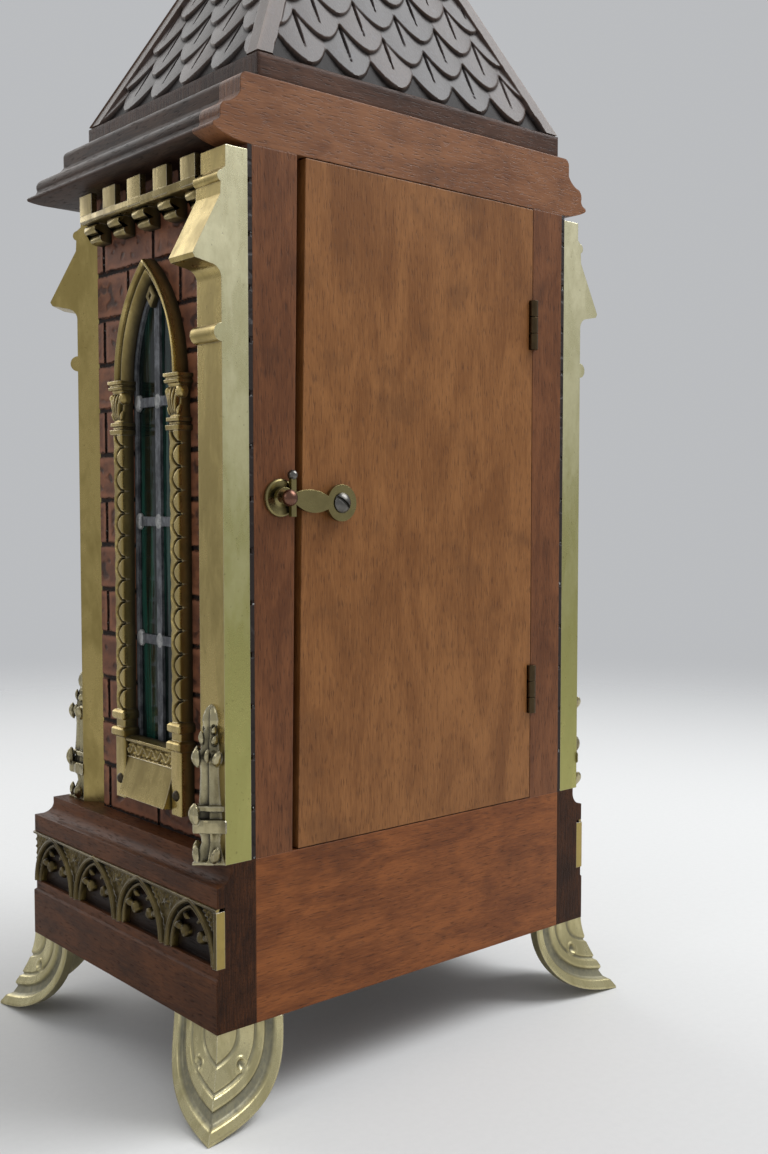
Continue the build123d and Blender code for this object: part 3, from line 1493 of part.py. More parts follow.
# Export, one STEP file for each named piece
pieces = {
    "plinth_side_right": plinth_side_right,
    "plinth_side_left": plinth_side_left,
    "plinth_front": plinth_front,
    "plinth_back": plinth_back,
    "case_floor": case_floor,
    "case_side_right": case_side_right,
    "case_side_left": case_side_left,
    "front_panel": front_panel,
    "back_stile_right": back_stile_right,
    "back_stile_left": back_stile_left,
    "brick_facing_right": brick_facing_right,
    "brick_facing_left": brick_facing_left,
    "brick_facing_front": brick_facing_front,
    "cornice_right": cornice_right,
    "cornice_left": cornice_left,
    "cornice_front": cornice_front,
    "cornice_back": cornice_back,
    "roof_board": roof_board,
    "roof_slope_back": roof_slope_back,
    "roof_slope_front": roof_slope_front,
    "roof_slope_right": roof_slope_right,
    "roof_slope_left": roof_slope_left,
    "roof_finial": roof_finial,
    "foot_back_right": foot_back_right,
    "foot_back_left": foot_back_left,
    "foot_front_right": foot_front_right,
    "foot_front_left": foot_front_left,
    "buttresses": buttresses,
    "pinnacles": pinnacles,
    "battlements": battlements,
    "arcade_friezes": arcade_friezes,
    "window_frames": window_frames,
    "window_glass": window_glass,
    "lead_cames": lead_cames,
    "back_door": back_door,
    "hinge_case_leaves": hinge_case_leaves,
    "hinge_door_leaves": hinge_door_leaves,
    "hinge_pins": hinge_pins,
    "latch_hook": latch_hook,
    "latch_screw": latch_screw,
    "latch_stud": latch_stud,
    "dial_plate": dial_plate,
    "bezel": bezel,
    "dial_glass": dial_glass,
    "hour_hand": hour_hand,
    "minute_hand": minute_hand,
    "front_plate": front_plate,
    "back_plate": back_plate,
    "spring_barrel": spring_barrel,
    "winding_arbor": winding_arbor,
    "centre_wheel": centre_wheel,
    "cannon_pinion": cannon_pinion,
    "third_wheel": third_wheel,
    "escape_wheel": escape_wheel,
    "minute_wheel": minute_wheel,
    "hour_wheel": hour_wheel,
    "pallet_anchor": pallet_anchor,
    "pendulum": pendulum,
}
for label, piece in pieces.items():
    piece.part.label = label
    export_step(piece.part, f"parts/{label}.step")
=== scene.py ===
"""Looks of the Gothic steeple clock: finishes, cast ornament, slates, floor, light and camera."""
import math

import bpy
import numpy as np
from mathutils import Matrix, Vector


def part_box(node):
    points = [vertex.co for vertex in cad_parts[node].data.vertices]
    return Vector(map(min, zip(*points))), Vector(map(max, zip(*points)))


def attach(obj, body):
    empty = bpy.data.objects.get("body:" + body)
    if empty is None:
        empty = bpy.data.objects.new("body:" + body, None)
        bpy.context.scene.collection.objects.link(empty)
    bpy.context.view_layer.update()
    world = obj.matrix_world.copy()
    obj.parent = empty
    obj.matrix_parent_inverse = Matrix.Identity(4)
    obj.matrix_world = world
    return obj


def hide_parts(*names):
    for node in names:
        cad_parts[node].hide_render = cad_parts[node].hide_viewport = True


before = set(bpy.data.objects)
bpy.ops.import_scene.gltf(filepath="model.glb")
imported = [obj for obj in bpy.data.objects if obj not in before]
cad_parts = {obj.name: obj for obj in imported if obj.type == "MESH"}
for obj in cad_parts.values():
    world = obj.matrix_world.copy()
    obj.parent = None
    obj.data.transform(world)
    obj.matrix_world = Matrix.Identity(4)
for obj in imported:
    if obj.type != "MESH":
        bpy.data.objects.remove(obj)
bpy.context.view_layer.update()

# Sizes in millimetres, read from the solids where they show them
MM = 0.001


def face_of(node, end, axis):
    """One side of a node's box in millimetres: end 0 is the low side and end 1 the high side."""
    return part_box(node)[end][axis] / MM


def middle_of(node, axis):
    """The middle of a node's box along one axis, in millimetres."""
    return (face_of(node, 0, axis) + face_of(node, 1, axis)) / 2


BACK_Y = face_of("back_door", 1, 1)
WALL_X = face_of("brick_facing_right", 1, 0)
WALL_Y = face_of("brick_facing_front", 0, 1)
PLINTH_TOP = face_of("plinth_back", 1, 2)
BODY_TOP = face_of("brick_facing_right", 1, 2)

# Bricks
BRICK_RISE = 17.0
BRICK_LONG = 36.0
SIDE_BRICK_MID = 7.85

# Roof and its slates
ROOF_INSET = 2.3
ROOF_BASE = face_of("roof_board", 1, 2)
ROOF_CUT = face_of("roof_finial", 0, 2)
ROOF_HALF = face_of("roof_board", 1, 0) - ROOF_INSET
ROOF_MID_Y = middle_of("roof_board", 1)
ROOF_RUN = BACK_Y - ROOF_MID_Y - ROOF_INSET
ROOF_APEX = 476.0
SLATE_WIDTH = 20.0
SLATE_RISE = 12.0
SLATE_START = 0.8
SLATE_TIP = 9.4
SLATE_LIFT = 1.7
SLATE_FALL = 0.062
SLATE_BED = 4.0
HIP_WIDTH = 7.0
HIP_LIFT = 2.0

# Feet
FOOT_X = 90.7
FOOT_TOP = face_of("foot_back_right", 1, 2)
FOOT_WING = 27.0
FOOT_TOE = 11.0
FOOT_LEAD = 3.0
FOOT_WALL = 4.0

# Friezes
FRIEZE_DEPTH = 3.7
FRIEZE_X = face_of("arcade_friezes", 1, 0) - FRIEZE_DEPTH
FRIEZE_Y = -63.1
FRIEZE_REAR = face_of("arcade_friezes", 1, 1)
FRIEZE_LOW = face_of("arcade_friezes", 0, 2)
FRIEZE_TOP = face_of("arcade_friezes", 1, 2)

# Windows
WINDOW_HALF = 16.2
ARCH_OFFSET = 30.5
SIDE_WINDOW_Y = 9.2
SIDE_SPRING = 248.0
SIDE_CAPITAL = 20.0
FRONT_WINDOW_X = 31.0
FRONT_SPRING = 166.0
FRONT_CAPITAL = 16.0
COLUMN_MID = 19.5
COLUMN_HALF = 2.9
COLUMN_SWING = 8.1
BASE_LOW = 117.0
FRAME_LOW = 94.0
FRAME_DEPTH = 5.0
NAIL_Z = 101.0
LEAD_BARS = (153.6, 196.6, 239.6)

# Buttresses and battlements
SHAFT_DEPTH = 10.2
CHAMFER = 19.2
BUTTRESS_HALF = 7.15
MERLON_PITCH = 17.6
MERLON_HALF = 4.45
CORBEL_HALF = 3.9
SHELF_LOW = BODY_TOP - 11.1

# Dial
DIAL_Z = 250.0
DIAL_THICK = 1.0
DIAL_Y = face_of("dial_plate", 1, 1) - DIAL_THICK
DIAL_RADIUS = face_of("dial_plate", 1, 2) - DIAL_Z
HOLE_CLEAR = 3.0
HOUR_LOW = DIAL_Z - middle_of("winding_arbor", 2) + HOLE_CLEAR
HOUR_HIGH = 35.4
MINUTE_RADIUS = 37.6
MINUTE_TALL = 2.2


# Finishes: colours are written as 0 to 255 display values
def tint(red, green, blue):
    """A colour given as display values, turned to linear light by the standard display curve."""
    share = np.array([red, green, blue]) / 255
    linear = np.where(share > 0.04045, ((share + 0.055) / 1.055) ** 2.4, share / 12.92)
    return (*linear.tolist(), 1.0)


class Tap:
    """A value in a finish; sums on it add Math nodes."""

    def __init__(self, finish, socket):
        self.finish = finish
        self.socket = socket

    def math(self, operation, *terms):
        return self.finish.node("Math", {"operation": operation}, dict(enumerate(terms)))

    def __add__(self, other):
        return self.math("ADD", self, other)

    __radd__ = __add__

    def __sub__(self, other):
        return self.math("SUBTRACT", self, other)

    def __rsub__(self, other):
        return self.math("SUBTRACT", other, self)

    def __mul__(self, other):
        return self.math("MULTIPLY", self, other)

    __rmul__ = __mul__

    def __truediv__(self, other):
        return self.math("DIVIDE", self, other)

    def __mod__(self, other):
        return self.math("FLOORED_MODULO", self, other)

    def __abs__(self):
        return self.math("ABSOLUTE", self)

    def floor(self):
        return self.math("FLOOR", self)

    def least(self, other):
        return self.math("MINIMUM", self, other)

    def most(self, other):
        return self.math("MAXIMUM", self, other)


class Finish:
    """A procedural material whose patterns are laid out in millimetres on the piece."""

    def __init__(self, name, **plain):
        self.material = bpy.data.materials.new(name)
        self.material.use_nodes = True
        self.nodes = self.material.node_tree.nodes
        self.links = self.material.node_tree.links
        self.shader = self.nodes["Principled BSDF"]
        here = self.node("TexCoord", output="Object")
        self.place = self.vector("MULTIPLY", here, (1 / MM,) * 3)
        self.put(**plain)

    def node(self, kind, settings=None, inputs=None, output=0):
        """A node of any kind: its settings first, then the values or links of its sockets."""
        made = self.nodes.new("ShaderNode" + kind)
        for key, value in (settings or {}).items():
            setattr(made, key, value)
        for key, value in (inputs or {}).items():
            self.feed(made.inputs[key], value)
        return Tap(self, made.outputs[output])

    def feed(self, socket, value):
        if isinstance(value, Tap):
            self.links.new(value.socket, socket)
        else:
            socket.default_value = value

    def put(self, **sockets):
        """Sets sockets of the shader, with an underscore for each space in a socket's name."""
        for key, value in sockets.items():
            self.feed(self.shader.inputs[key.replace("_", " ")], value)

    def vector(self, operation, first, second):
        return self.node("VectorMath", {"operation": operation}, {0: first, 1: second})

    def length(self, vector):
        return self.node("VectorMath", {"operation": "LENGTH"}, {0: vector}, 1)

    def axis(self, index):
        """One coordinate of the place on the piece."""
        return self.node("SeparateXYZ", None, {0: self.place}, index)

    def normal(self, index):
        """One coordinate of the direction that the surface faces."""
        return self.node("SeparateXYZ", None, {0: self.node("TexCoord", output="Normal")}, index)

    def noise(self, size, detail, rough, warp=0.0):
        """Soft noise, with the size of its blobs in millimetres, one for all axes or x, y and z."""
        spread = self.vector("MULTIPLY", self.place, tuple(1 / np.broadcast_to(size, 3)))
        sockets = {"Vector": spread, "Scale": 1.0, "Detail": detail, "Roughness": rough, "Distortion": warp}
        return self.node("TexNoise", None, sockets)

    def rise(self, value, low, high):
        """0 below low, 1 above high and a smooth rise between them."""
        sockets = {"Value": value, "From Min": low, "From Max": high}
        return self.node("MapRange", {"interpolation_type": "SMOOTHSTEP"}, sockets)

    def patches(self, low, high, *noise):
        """Noise pushed into patches: 0 where it lies below low and 1 where it lies above high."""
        return self.rise(self.noise(*noise), low, high)

    def blend(self, share, first, second):
        """A share of the second colour laid over the first."""
        pair = [tint(*colour) if isinstance(colour, tuple) else colour for colour in (first, second)]
        settings = {"data_type": "RGBA", "blend_type": "MIX"}
        return self.node("Mix", settings, {0: share, 6: pair[0], 7: pair[1]}, 2)

    def layers(self, colour, *coats):
        """Further colours laid over a first one, each given as a share and a colour."""
        for share, coat in coats:
            colour = self.blend(share, colour, coat)
        return colour

    def hollow(self, reach):
        """How deep the surface lies in a recess of its own piece, reach in millimetres."""
        settings = {"only_local": True, "samples": 8}
        return 1 - self.node("AmbientOcclusion", settings, {"Distance": reach * MM}, 1)

    def attribute(self, name):
        return self.node("Attribute", {"attribute_name": name}, output="Fac")

    def softened(self, radius):
        """The way the surface would face with its edges rounded by a radius in millimetres."""
        return self.node("Bevel", {"samples": 4}, {"Radius": radius * MM})

    def arris(self, radius):
        """How sharply the surface turns within a radius in millimetres."""
        here = self.node("NewGeometry", output="Normal")
        sockets = {0: self.softened(radius), 1: here}
        return 1 - self.node("VectorMath", {"operation": "DOT_PRODUCT"}, sockets, 1)

    def relief(self, height, depth, edge=0.0):
        """Bumps of a depth in millimetres, over edges softened by a small radius."""
        sockets = {"Strength": 1.0, "Distance": depth * MM, "Height": height}
        if edge:
            sockets["Normal"] = self.softened(edge)
        self.put(Normal=self.node("Bump", None, sockets))


def wood(name, deep, pale, dark, along, figure=16.0, gloss=0.2, edge=0.6, shaded_pocket=None):
    """Fine streaks over a broad cloudy figure, short dark pores, streaked cut ends, worn edges with a
    painted highlight, and grime with painted shade in recesses.

    A pocket is the axis across the frieze's groove and the place of its floor; the groove's floor is painted
    black as shade.
    """
    finish = Finish(name, Coat_Roughness=0.3, Coat_IOR=1.35, Specular_IOR_Level=gloss)

    def grain(fine, long):
        return [long if axis == along else fine for axis in range(3)]

    broad = finish.noise(grain(figure, 3 * figure), 4, 0.6, 1.0)
    streak = finish.noise(grain(1.3, 30.0), 5, 0.65, 0.5)
    hair = finish.noise(grain(0.5, 6.0), 3, 0.6)
    pore = finish.patches(0.56, 0.68, grain(0.55, 4.5), 2, 0.5)
    ray = finish.patches(0.35, 0.65, (0.7, 0.7, 9.0), 4, 0.65)
    stain = finish.patches(0.52, 0.76, 26.0, 4, 0.6)
    tone = finish.rise(broad * 0.5 + streak * 0.2 + hair * 0.3, 0.36, 0.64)
    cut = finish.rise(abs(finish.normal(along)), 0.7, 0.9)
    # Pale edges: wear together with a painted highlight along the arrises.
    wear_and_highlight = finish.rise(finish.arris(1.4), 0.02, 0.2)
    # Darkening in the piece's own recesses and under its mouldings: grime together with painted shade.
    grime_and_shade = finish.rise(finish.hollow(7.0), 0.30, 0.9)
    colour = finish.layers(
        finish.blend(tone, deep, pale),
        (pore * 0.45, dark),
        (cut * (0.3 + 0.4 * ray), dark),
        (wear_and_highlight * 0.25, pale),
        (grime_and_shade * 0.8, dark),
        (stain * 0.4, dark),
    )
    if shaded_pocket:
        across, floor = shaded_pocket
        level = finish.rise(finish.axis(2), FRIEZE_LOW - 1.5, FRIEZE_LOW - 0.5)
        level = level - finish.rise(finish.axis(2), FRIEZE_TOP + 0.3, FRIEZE_TOP + 1.2)
        near = 1 - finish.rise(abs(finish.axis(across)), floor + 0.4, floor + 2.2)
        # Painted shade: the groove floor behind the frieze is darkened nearly to black.
        colour = finish.blend(level * (1 - cut) * near * 0.9, colour, (17, 13, 11))
    finish.put(Base_Color=colour, Roughness=0.38 + 0.14 * pore + 0.12 * streak)
    finish.put(Coat_Weight=gloss * (0.5 - 0.4 * pore))
    finish.relief(streak * 0.3 + hair * 0.25 - pore * 0.6 - cut * ray * 0.6, 0.1, edge)
    return finish.material


def cast_metal(name, bright, dull, recess, rough=0.3, reach=3.0, edge=0.4, back_sheen=None, low=None,
               tarnish_and_shade=(0.25, 0.8)):
    """Cast metal: clouds, fine pits, tarnish and painted shade in its hollows, and rubbed edges with a
    painted highlight; faces turned to the back carry a painted reflection that pales upward.

    Low ground is found as "wall", for a relief on the walls, where ground close to the wall is darkened as
    painted shade, or as "mark", for a drawn mark.
    """
    finish = Finish(name)
    cloud = finish.patches(0.38, 0.64, (9.0, 9.0, 26.0), 4, 0.6, 0.3)
    fine = finish.noise((1.6, 1.6, 2.4), 3, 0.6)
    grit = finish.noise(0.6, 2, 0.5)
    pits = finish.patches(0.66, 0.76, 1.3, 2, 0.5)
    # Hollows take the recess colour: tarnish, strengthened into painted shade.
    deep = finish.rise(finish.hollow(reach), *tarnish_and_shade)
    if low == "wall":
        # Painted shade: surfaces lying close to the wall take the recess colour.
        out = (abs(finish.axis(0)) - WALL_X).most(WALL_Y - finish.axis(1))
        deep = deep.most(1 - finish.rise(out + fine, 1.0, 5.4))
    if low == "mark":
        deep = deep.most(finish.attribute("low") * (0.4 + 0.6 * fine))
    colour = finish.blend(cloud * 0.7 + 0.3 * fine, bright, dull)
    # Painted reflection: faces turned to the back are painted in a paler sheen that brightens upward.
    if back_sheen:
        bottom, top = back_sheen
        up = finish.rise(finish.axis(2) + 30 * (cloud - 0.5), 130.0, 345.0)
        back = finish.rise(finish.normal(1), 0.93, 0.985)
        colour = finish.blend(back * (0.95 - 0.3 * fine), colour, finish.blend(up, bottom, top))
    shine = [value + 0.45 * (1 - value) for value in tint(*bright)]
    # Edges painted toward a pale shine: rubbed wear together with a painted highlight.
    wear_and_highlight = finish.rise(finish.arris(1.5 * edge), 0.06, 0.3)
    colour = finish.layers(colour, (wear_and_highlight * 0.6, shine), (pits * 0.3, recess), (deep * 0.93, recess))
    finish.put(Base_Color=colour, Metallic=0.94 - 0.4 * deep)
    finish.put(Roughness=rough + 0.10 * cloud + 0.08 * grit + 0.25 * deep - 0.08)
    finish.relief(grit * 0.3 + fine - pits * 0.5, 0.035, edge)
    return finish.material


def worked_metal(name, colour, stain, rough, along, edge=0.25):
    """Filed and handled metal: fine lines along one axis, with soft stains."""
    finish = Finish(name, Metallic=1.0)
    lines = finish.noise([30.0 if axis == along else 0.25 for axis in range(3)], 3, 0.6)
    cloud = finish.patches(0.35, 0.7, 5.0, 4, 0.6)
    deep = finish.rise(finish.hollow(2.0), 0.35, 0.9)
    finish.put(Base_Color=finish.layers(finish.blend(cloud * 0.4, colour, stain), (deep * 0.8, stain)))
    finish.put(Roughness=rough + 0.15 * lines + 0.12 * cloud + 0.1 * deep - 0.1)
    finish.relief(lines, 0.02, edge)
    return finish.material


def brickwork(name, along, middle):
    """Carved brick: staggered courses, wavering black joints, a pale rim and a dimpled face."""
    finish = Finish(name, Specular_IOR_Level=0.28)
    waver = finish.noise(6.0, 3, 0.6)
    slip = finish.noise(2.2, 2, 0.5)
    up = (finish.axis(2) - PLINTH_TOP) / BRICK_RISE + (waver - 0.5) * 0.09
    course = up.floor()
    run = (finish.axis(along) - middle) / BRICK_LONG + 0.5 * (course % 2.0) + (waver - 0.5) * 0.04
    bed = abs((up + 0.5) % 1.0 - 0.5) * BRICK_RISE
    end = abs((run + 0.5) % 1.0 - 0.5) * BRICK_LONG
    near = bed.least(end)
    joint = 1 - finish.rise(near + (slip - 0.5) * 1.8, 0.35, 1.15)
    key = finish.node("CombineXYZ", None, {0: run.floor(), 1: course})
    own = finish.node("TexWhiteNoise", {"noise_dimensions": "2D"}, {"Vector": key})
    cloud = finish.noise((7.0, 7.0, 5.0), 4, 0.6)
    core = finish.rise(near, 2.0, 5.5)
    dimple = core * finish.patches(0.54, 0.68, (5.4, 5.4, 4.2), 1, 0.4)
    grit = finish.noise(0.9, 3, 0.6)
    rim = finish.rise(near, 0.9, 1.6) - finish.rise(near, 1.8, 3.6)
    colour = finish.layers(
        finish.blend(finish.rise(cloud, 0.3, 0.7), (88, 53, 36), (126, 79, 52)),
        (own * 0.4, (84, 54, 44)),
        (dimple * 0.8, (40, 26, 23)),
        (rim * 0.3, (158, 104, 76)),
        (finish.rise(grit, 0.55, 0.75) * 0.2, (150, 104, 80)),
        (joint * 0.95, (20, 15, 14)),
    )
    back = finish.rise(finish.normal(1), 0.9, 0.98)
    speck = finish.patches(0.62, 0.68, (1.0, 1.0, 1.3), 2, 0.5) * joint
    rear = finish.blend(speck, (34, 24, 20), (186, 188, 186))
    finish.put(Base_Color=finish.blend(back, colour, rear), Roughness=0.5 + 0.2 * grit + 0.2 * joint)
    finish.relief(0.12 * grit - 0.55 * dimple - joint + 0.1 * cloud, 0.8)
    return finish.material


def slate_wood(name):
    """Dark carved slates: each with its own shade, dusty with a painted bluish sheen in the open, pale with
    wear and a painted highlight along their edges, and painted shadow under them.
    """
    finish = Finish(name, Coat_Roughness=0.3, Specular_IOR_Level=0.1)
    tone, wear_and_highlight, low = (finish.attribute(key) for key in ("tone", "wear_and_highlight", "low"))
    grain = finish.noise((0.6, 0.6, 6.0), 4, 0.6, 0.4)
    dust_and_sheen = finish.noise(3.5, 4, 0.65)
    colour = finish.layers(
        finish.blend(tone, (36, 26, 22), (64, 47, 39)),
        (finish.rise(grain, 0.45, 0.7) * 0.5, (28, 20, 17)),
        # Bluish grey patches: dust together with a painted sheen.
        (finish.rise(dust_and_sheen, 0.5, 0.75) * 0.22, (98, 100, 108)),
        # Pale slate edges: wear together with a painted highlight.
        (wear_and_highlight * 0.4, (118, 94, 76)),
        # Painted shadow: the low attribute darkens the ground under each slate's edge and inside its slit.
        (low * 0.95, (12, 9, 8)),
    )
    finish.put(Base_Color=colour, Roughness=0.38 + 0.16 * dust_and_sheen + 0.25 * low)
    finish.put(Coat_Weight=0.3 - 0.3 * low)
    finish.relief(grain * 0.7 + dust_and_sheen * 0.3, 0.14)
    return finish.material


def leaded_glass(name):
    """Dark green rolled glass with drawn streaks and a slightly rippled face."""
    finish = Finish(name, IOR=1.45, Specular_IOR_Level=0.35)
    streak = finish.noise((3.2, 3.2, 70.0), 3, 0.5, 0.4)
    seed = finish.patches(0.68, 0.74, (1.4, 1.4, 2.5), 2, 0.5)
    colour = finish.blend(finish.rise(streak, 0.46, 0.70), (8, 17, 15), (26, 62, 52))
    finish.put(Base_Color=finish.blend(seed * 0.3, colour, (60, 96, 84)))
    finish.put(Roughness=0.08 + 0.06 * streak)
    finish.relief(streak + finish.noise((9.0, 9.0, 14.0), 2, 0.5), 0.2)
    return finish.material


def dull_lead(name, deep, pale):
    """Soft grey lead with dark handling marks."""
    finish = Finish(name, Metallic=0.4)
    cloud = finish.noise((3.0, 3.0, 5.0), 4, 0.65)
    grit = finish.noise(0.6, 3, 0.6)
    colour = finish.blend(finish.rise(cloud, 0.35, 0.65), deep, pale)
    finish.put(Base_Color=finish.blend(finish.rise(grit, 0.55, 0.7) * 0.5, colour, (46, 46, 50)))
    finish.put(Roughness=0.42 + 0.25 * cloud)
    finish.relief(cloud + 0.4 * grit, 0.25, 0.35)
    return finish.material


def clear_glass(name):
    """Thin clear glass with a faint haze."""
    finish = Finish(name, Transmission_Weight=1.0, IOR=1.45)
    haze = finish.noise(12.0, 3, 0.6)
    finish.put(Base_Color=finish.blend(haze, (236, 243, 240), (250, 252, 251)))
    finish.put(Roughness=0.01 + 0.04 * haze)
    return finish.material


def enamel(name, pale, aged):
    """Fired enamel, a little uneven and yellowed in clouds; brass shows on the lugs beyond the dial."""
    finish = Finish(name, Coat_Weight=0.5, Coat_Roughness=0.12)
    cloud = finish.noise(16.0, 4, 0.6)
    fine = finish.noise(0.8, 2, 0.5)
    colour = finish.blend(finish.rise(cloud, 0.35, 0.7), pale, aged)
    flat = finish.vector("MULTIPLY", finish.vector("SUBTRACT", finish.place, (0, 0, DIAL_Z)), (1, 0, 1))
    bare = finish.rise(finish.length(flat), DIAL_RADIUS, DIAL_RADIUS + 0.3)
    finish.put(Base_Color=finish.blend(bare, colour, finish.blend(cloud, *BRASS)), Metallic=bare)
    finish.put(Roughness=0.28 + 0.12 * fine)
    finish.relief(fine, 0.02)
    return finish.material


BRASS = ((164, 142, 82), (112, 98, 60))
DARK = ((38, 27, 21), (68, 48, 36), (17, 12, 10))
PLINTH = ((58, 33, 18), (96, 57, 31), (23, 15, 11))
# Painted sheen colour for the frieze bronze's faces turned to the back.
BRONZE_BACK_SHEEN = (178, 156, 92)
FINISHES = {
    "roof": slate_wood("carved_slates"),
    "dark_x": wood("dark_moulding_x", *DARK, 0, gloss=0.1),
    "dark_y": wood("dark_moulding_y", *DARK, 1, gloss=0.1),
    "board": wood("roof_board_wood", (58, 38, 29), (92, 63, 48), (30, 20, 16), 0, gloss=0.12, edge=2.0),
    "plinth_y": wood("plinth_moulding_y", *PLINTH, 1, gloss=0.1, shaded_pocket=(0, FRIEZE_X)),
    "plinth_x": wood("plinth_moulding_x", *PLINTH, 0, gloss=0.1, shaded_pocket=(1, -FRIEZE_Y)),
    "plinth_back": wood("orange_back_board", (100, 53, 22), (142, 83, 40), (54, 31, 17), 0, 11.0),
    "door": wood("brown_door", (116, 72, 35), (148, 99, 55), (72, 43, 24), 2, 18.0),
    "stile": wood("red_stile", (92, 53, 28), (124, 77, 45), (48, 29, 19), 2, 12.0),
    "cornice_back": wood("brown_cornice_board", (106, 65, 39), (140, 93, 60), (54, 33, 23), 0),
    "inside": wood("inner_board", (58, 38, 26), (86, 58, 40), (32, 22, 16), 2),
    "brick_side": brickwork("brick_side", 1, SIDE_BRICK_MID),
    "brick_front": brickwork("brick_front", 0, 0.0),
    # The buttress backs carry a painted reflection, pale green low to near white high.
    "buttress": cast_metal("buttress_brass", (180, 160, 102), (144, 127, 76), (52, 42, 27), edge=0.25,
                           back_sheen=((164, 163, 100), (250, 244, 206))),
    "gilt": cast_metal("window_brass", (184, 164, 108), (140, 122, 74), (26, 21, 14), 0.28, 2.4, low="wall"),
    "bezel": cast_metal("bezel_brass", (184, 164, 108), (148, 130, 80), (40, 32, 20), 0.26, 2.4),
    "parapet": cast_metal("parapet_brass", (160, 144, 98), (114, 100, 62), (30, 25, 16), low="wall"),
    # The spire's low thresholds give strong painted shade in its hollows and a painted highlight on its
    # arrises.
    "spire": cast_metal("spire_brass", (186, 176, 140), (118, 107, 76), (22, 18, 13), 0.18, 4.5, 0.6,
                        tarnish_and_shade=(0.10, 0.55)),
    "foot": cast_metal("foot_brass", (204, 194, 150), (166, 156, 114), (88, 90, 88), 0.28, 2.6, low="mark"),
    "bronze": cast_metal("frieze_bronze", (112, 98, 62), (72, 61, 38), (16, 13, 10), 0.34, 3.5,
                         back_sheen=(BRONZE_BACK_SHEEN, BRONZE_BACK_SHEEN)),
    "brass": worked_metal("worked_brass", *BRASS, 0.34, 0),
    "hinge": worked_metal("brown_hinge", (84, 70, 50), (50, 40, 30), 0.36, 2),
    "latch": worked_metal("latch_brass", (138, 127, 86), (90, 82, 54), 0.28, 0),
    "steel": worked_metal("dull_steel", (108, 106, 102), (54, 50, 46), 0.3, 1),
    "nail": worked_metal("dark_nail", (74, 66, 54), (40, 34, 28), 0.3, 1),
    "copper": worked_metal("browned_copper", (114, 82, 68), (76, 54, 46), 0.26, 1, 0.4),
    "hand": worked_metal("blued_steel", (38, 42, 58), (22, 22, 30), 0.28, 2),
    "glass": leaded_glass("green_glass"),
    "lead": dull_lead("dull_lead", (66, 68, 72), (114, 116, 120)),
    "solder": dull_lead("pale_solder", (116, 117, 118), (176, 176, 174)),
    "clear": clear_glass("clear_glass"),
    "enamel": enamel("dial_enamel", (236, 230, 212), (222, 210, 184)),
    "ink": enamel("dial_ink", (26, 24, 24), (40, 36, 34)),
}


# Shape tools: every part is a pair, its points in millimetres and groups of faces
def grid(first, second):
    """Two arrays over a grid: the first changes from row to row and the second along a row."""
    return np.meshgrid(first, second, indexing="ij")


def turns(count):
    """Evenly spaced angles round a full circle."""
    return np.linspace(0, 2 * np.pi, count, endpoint=False)


def spots(*coordinates):
    """Points from their coordinates, each spread over the shape of the others."""
    return np.stack(np.broadcast_arrays(*coordinates), -1)


def unit(value):
    """A value held between 0 and 1."""
    return np.clip(value, 0, 1)


def hump(distance, width):
    """1 at no distance, falling off as a bell curve of a width."""
    return np.exp(-((distance / width) ** 2))


def numbers(points):
    """The running numbers of a grid of points."""
    return np.arange(points.shape[0] * points.shape[1]).reshape(points.shape[:2])


def quads(index):
    """One face for each cell of a grid of point numbers."""
    return np.stack([index[:-1, :-1], index[1:, :-1], index[1:, 1:], index[:-1, 1:]], -1).reshape(-1, 4)


def border(index):
    """The point numbers round a grid's edge, in order."""
    return np.concatenate([index[:-1, 0], index[-1, :-1], index[:0:-1, -1], index[0, :0:-1]])


def rim(near, far):
    """A strip of faces between two matching loops of point numbers."""
    return np.stack([np.roll(near, -1), near, far, np.roll(far, -1)], -1)


def slab(front, back):
    """Plate between two matching grids of points, with a rim round their edges."""
    index = numbers(front)
    loop = border(index)
    points = np.concatenate([front.reshape(-1, 3), back.reshape(-1, 3)])
    return points, [quads(index), quads(index)[:, ::-1] + index.size, rim(loop, loop + index.size)]


def panel(front, back):
    """Relief on a grid, with a rim down to one flat face that joins the back grid's edge."""
    index = numbers(front)
    loop = border(index)
    far = index.size + np.arange(loop.size)
    points = np.concatenate([front.reshape(-1, 3), back.reshape(-1, 3)[loop]])
    return points, [quads(index), far[None, ::-1], rim(loop, far)]


def tube(rings):
    """Rings of points joined wall by wall, with each end closed by one flat face."""
    index = numbers(rings)
    wall = quads(np.pad(index, ((0, 0), (0, 1)), mode="wrap"))
    return rings.reshape(-1, 3), [wall, index[:1], index[-1:, ::-1]]


def ring_tube(rings):
    """Rings of points joined wall by wall, the last one back to the first."""
    return rings.reshape(-1, 3), [quads(np.pad(numbers(rings), (0, 1), mode="wrap"))]


def outward(points, groups):
    """The faces turned so that the volume they enclose is positive."""
    volume = 0.0
    for group in groups:
        fan = points[group]
        for k in range(1, group.shape[1] - 1):
            volume += np.einsum("ij,ij->", fan[:, 0], np.cross(fan[:, k], fan[:, k + 1]))
    return groups if volume > 0 else [group[:, ::-1] for group in groups]


def placed(name, data):
    """A new object at the origin of the scene."""
    thing = bpy.data.objects.new(name, data)
    bpy.context.scene.collection.objects.link(thing)
    return thing


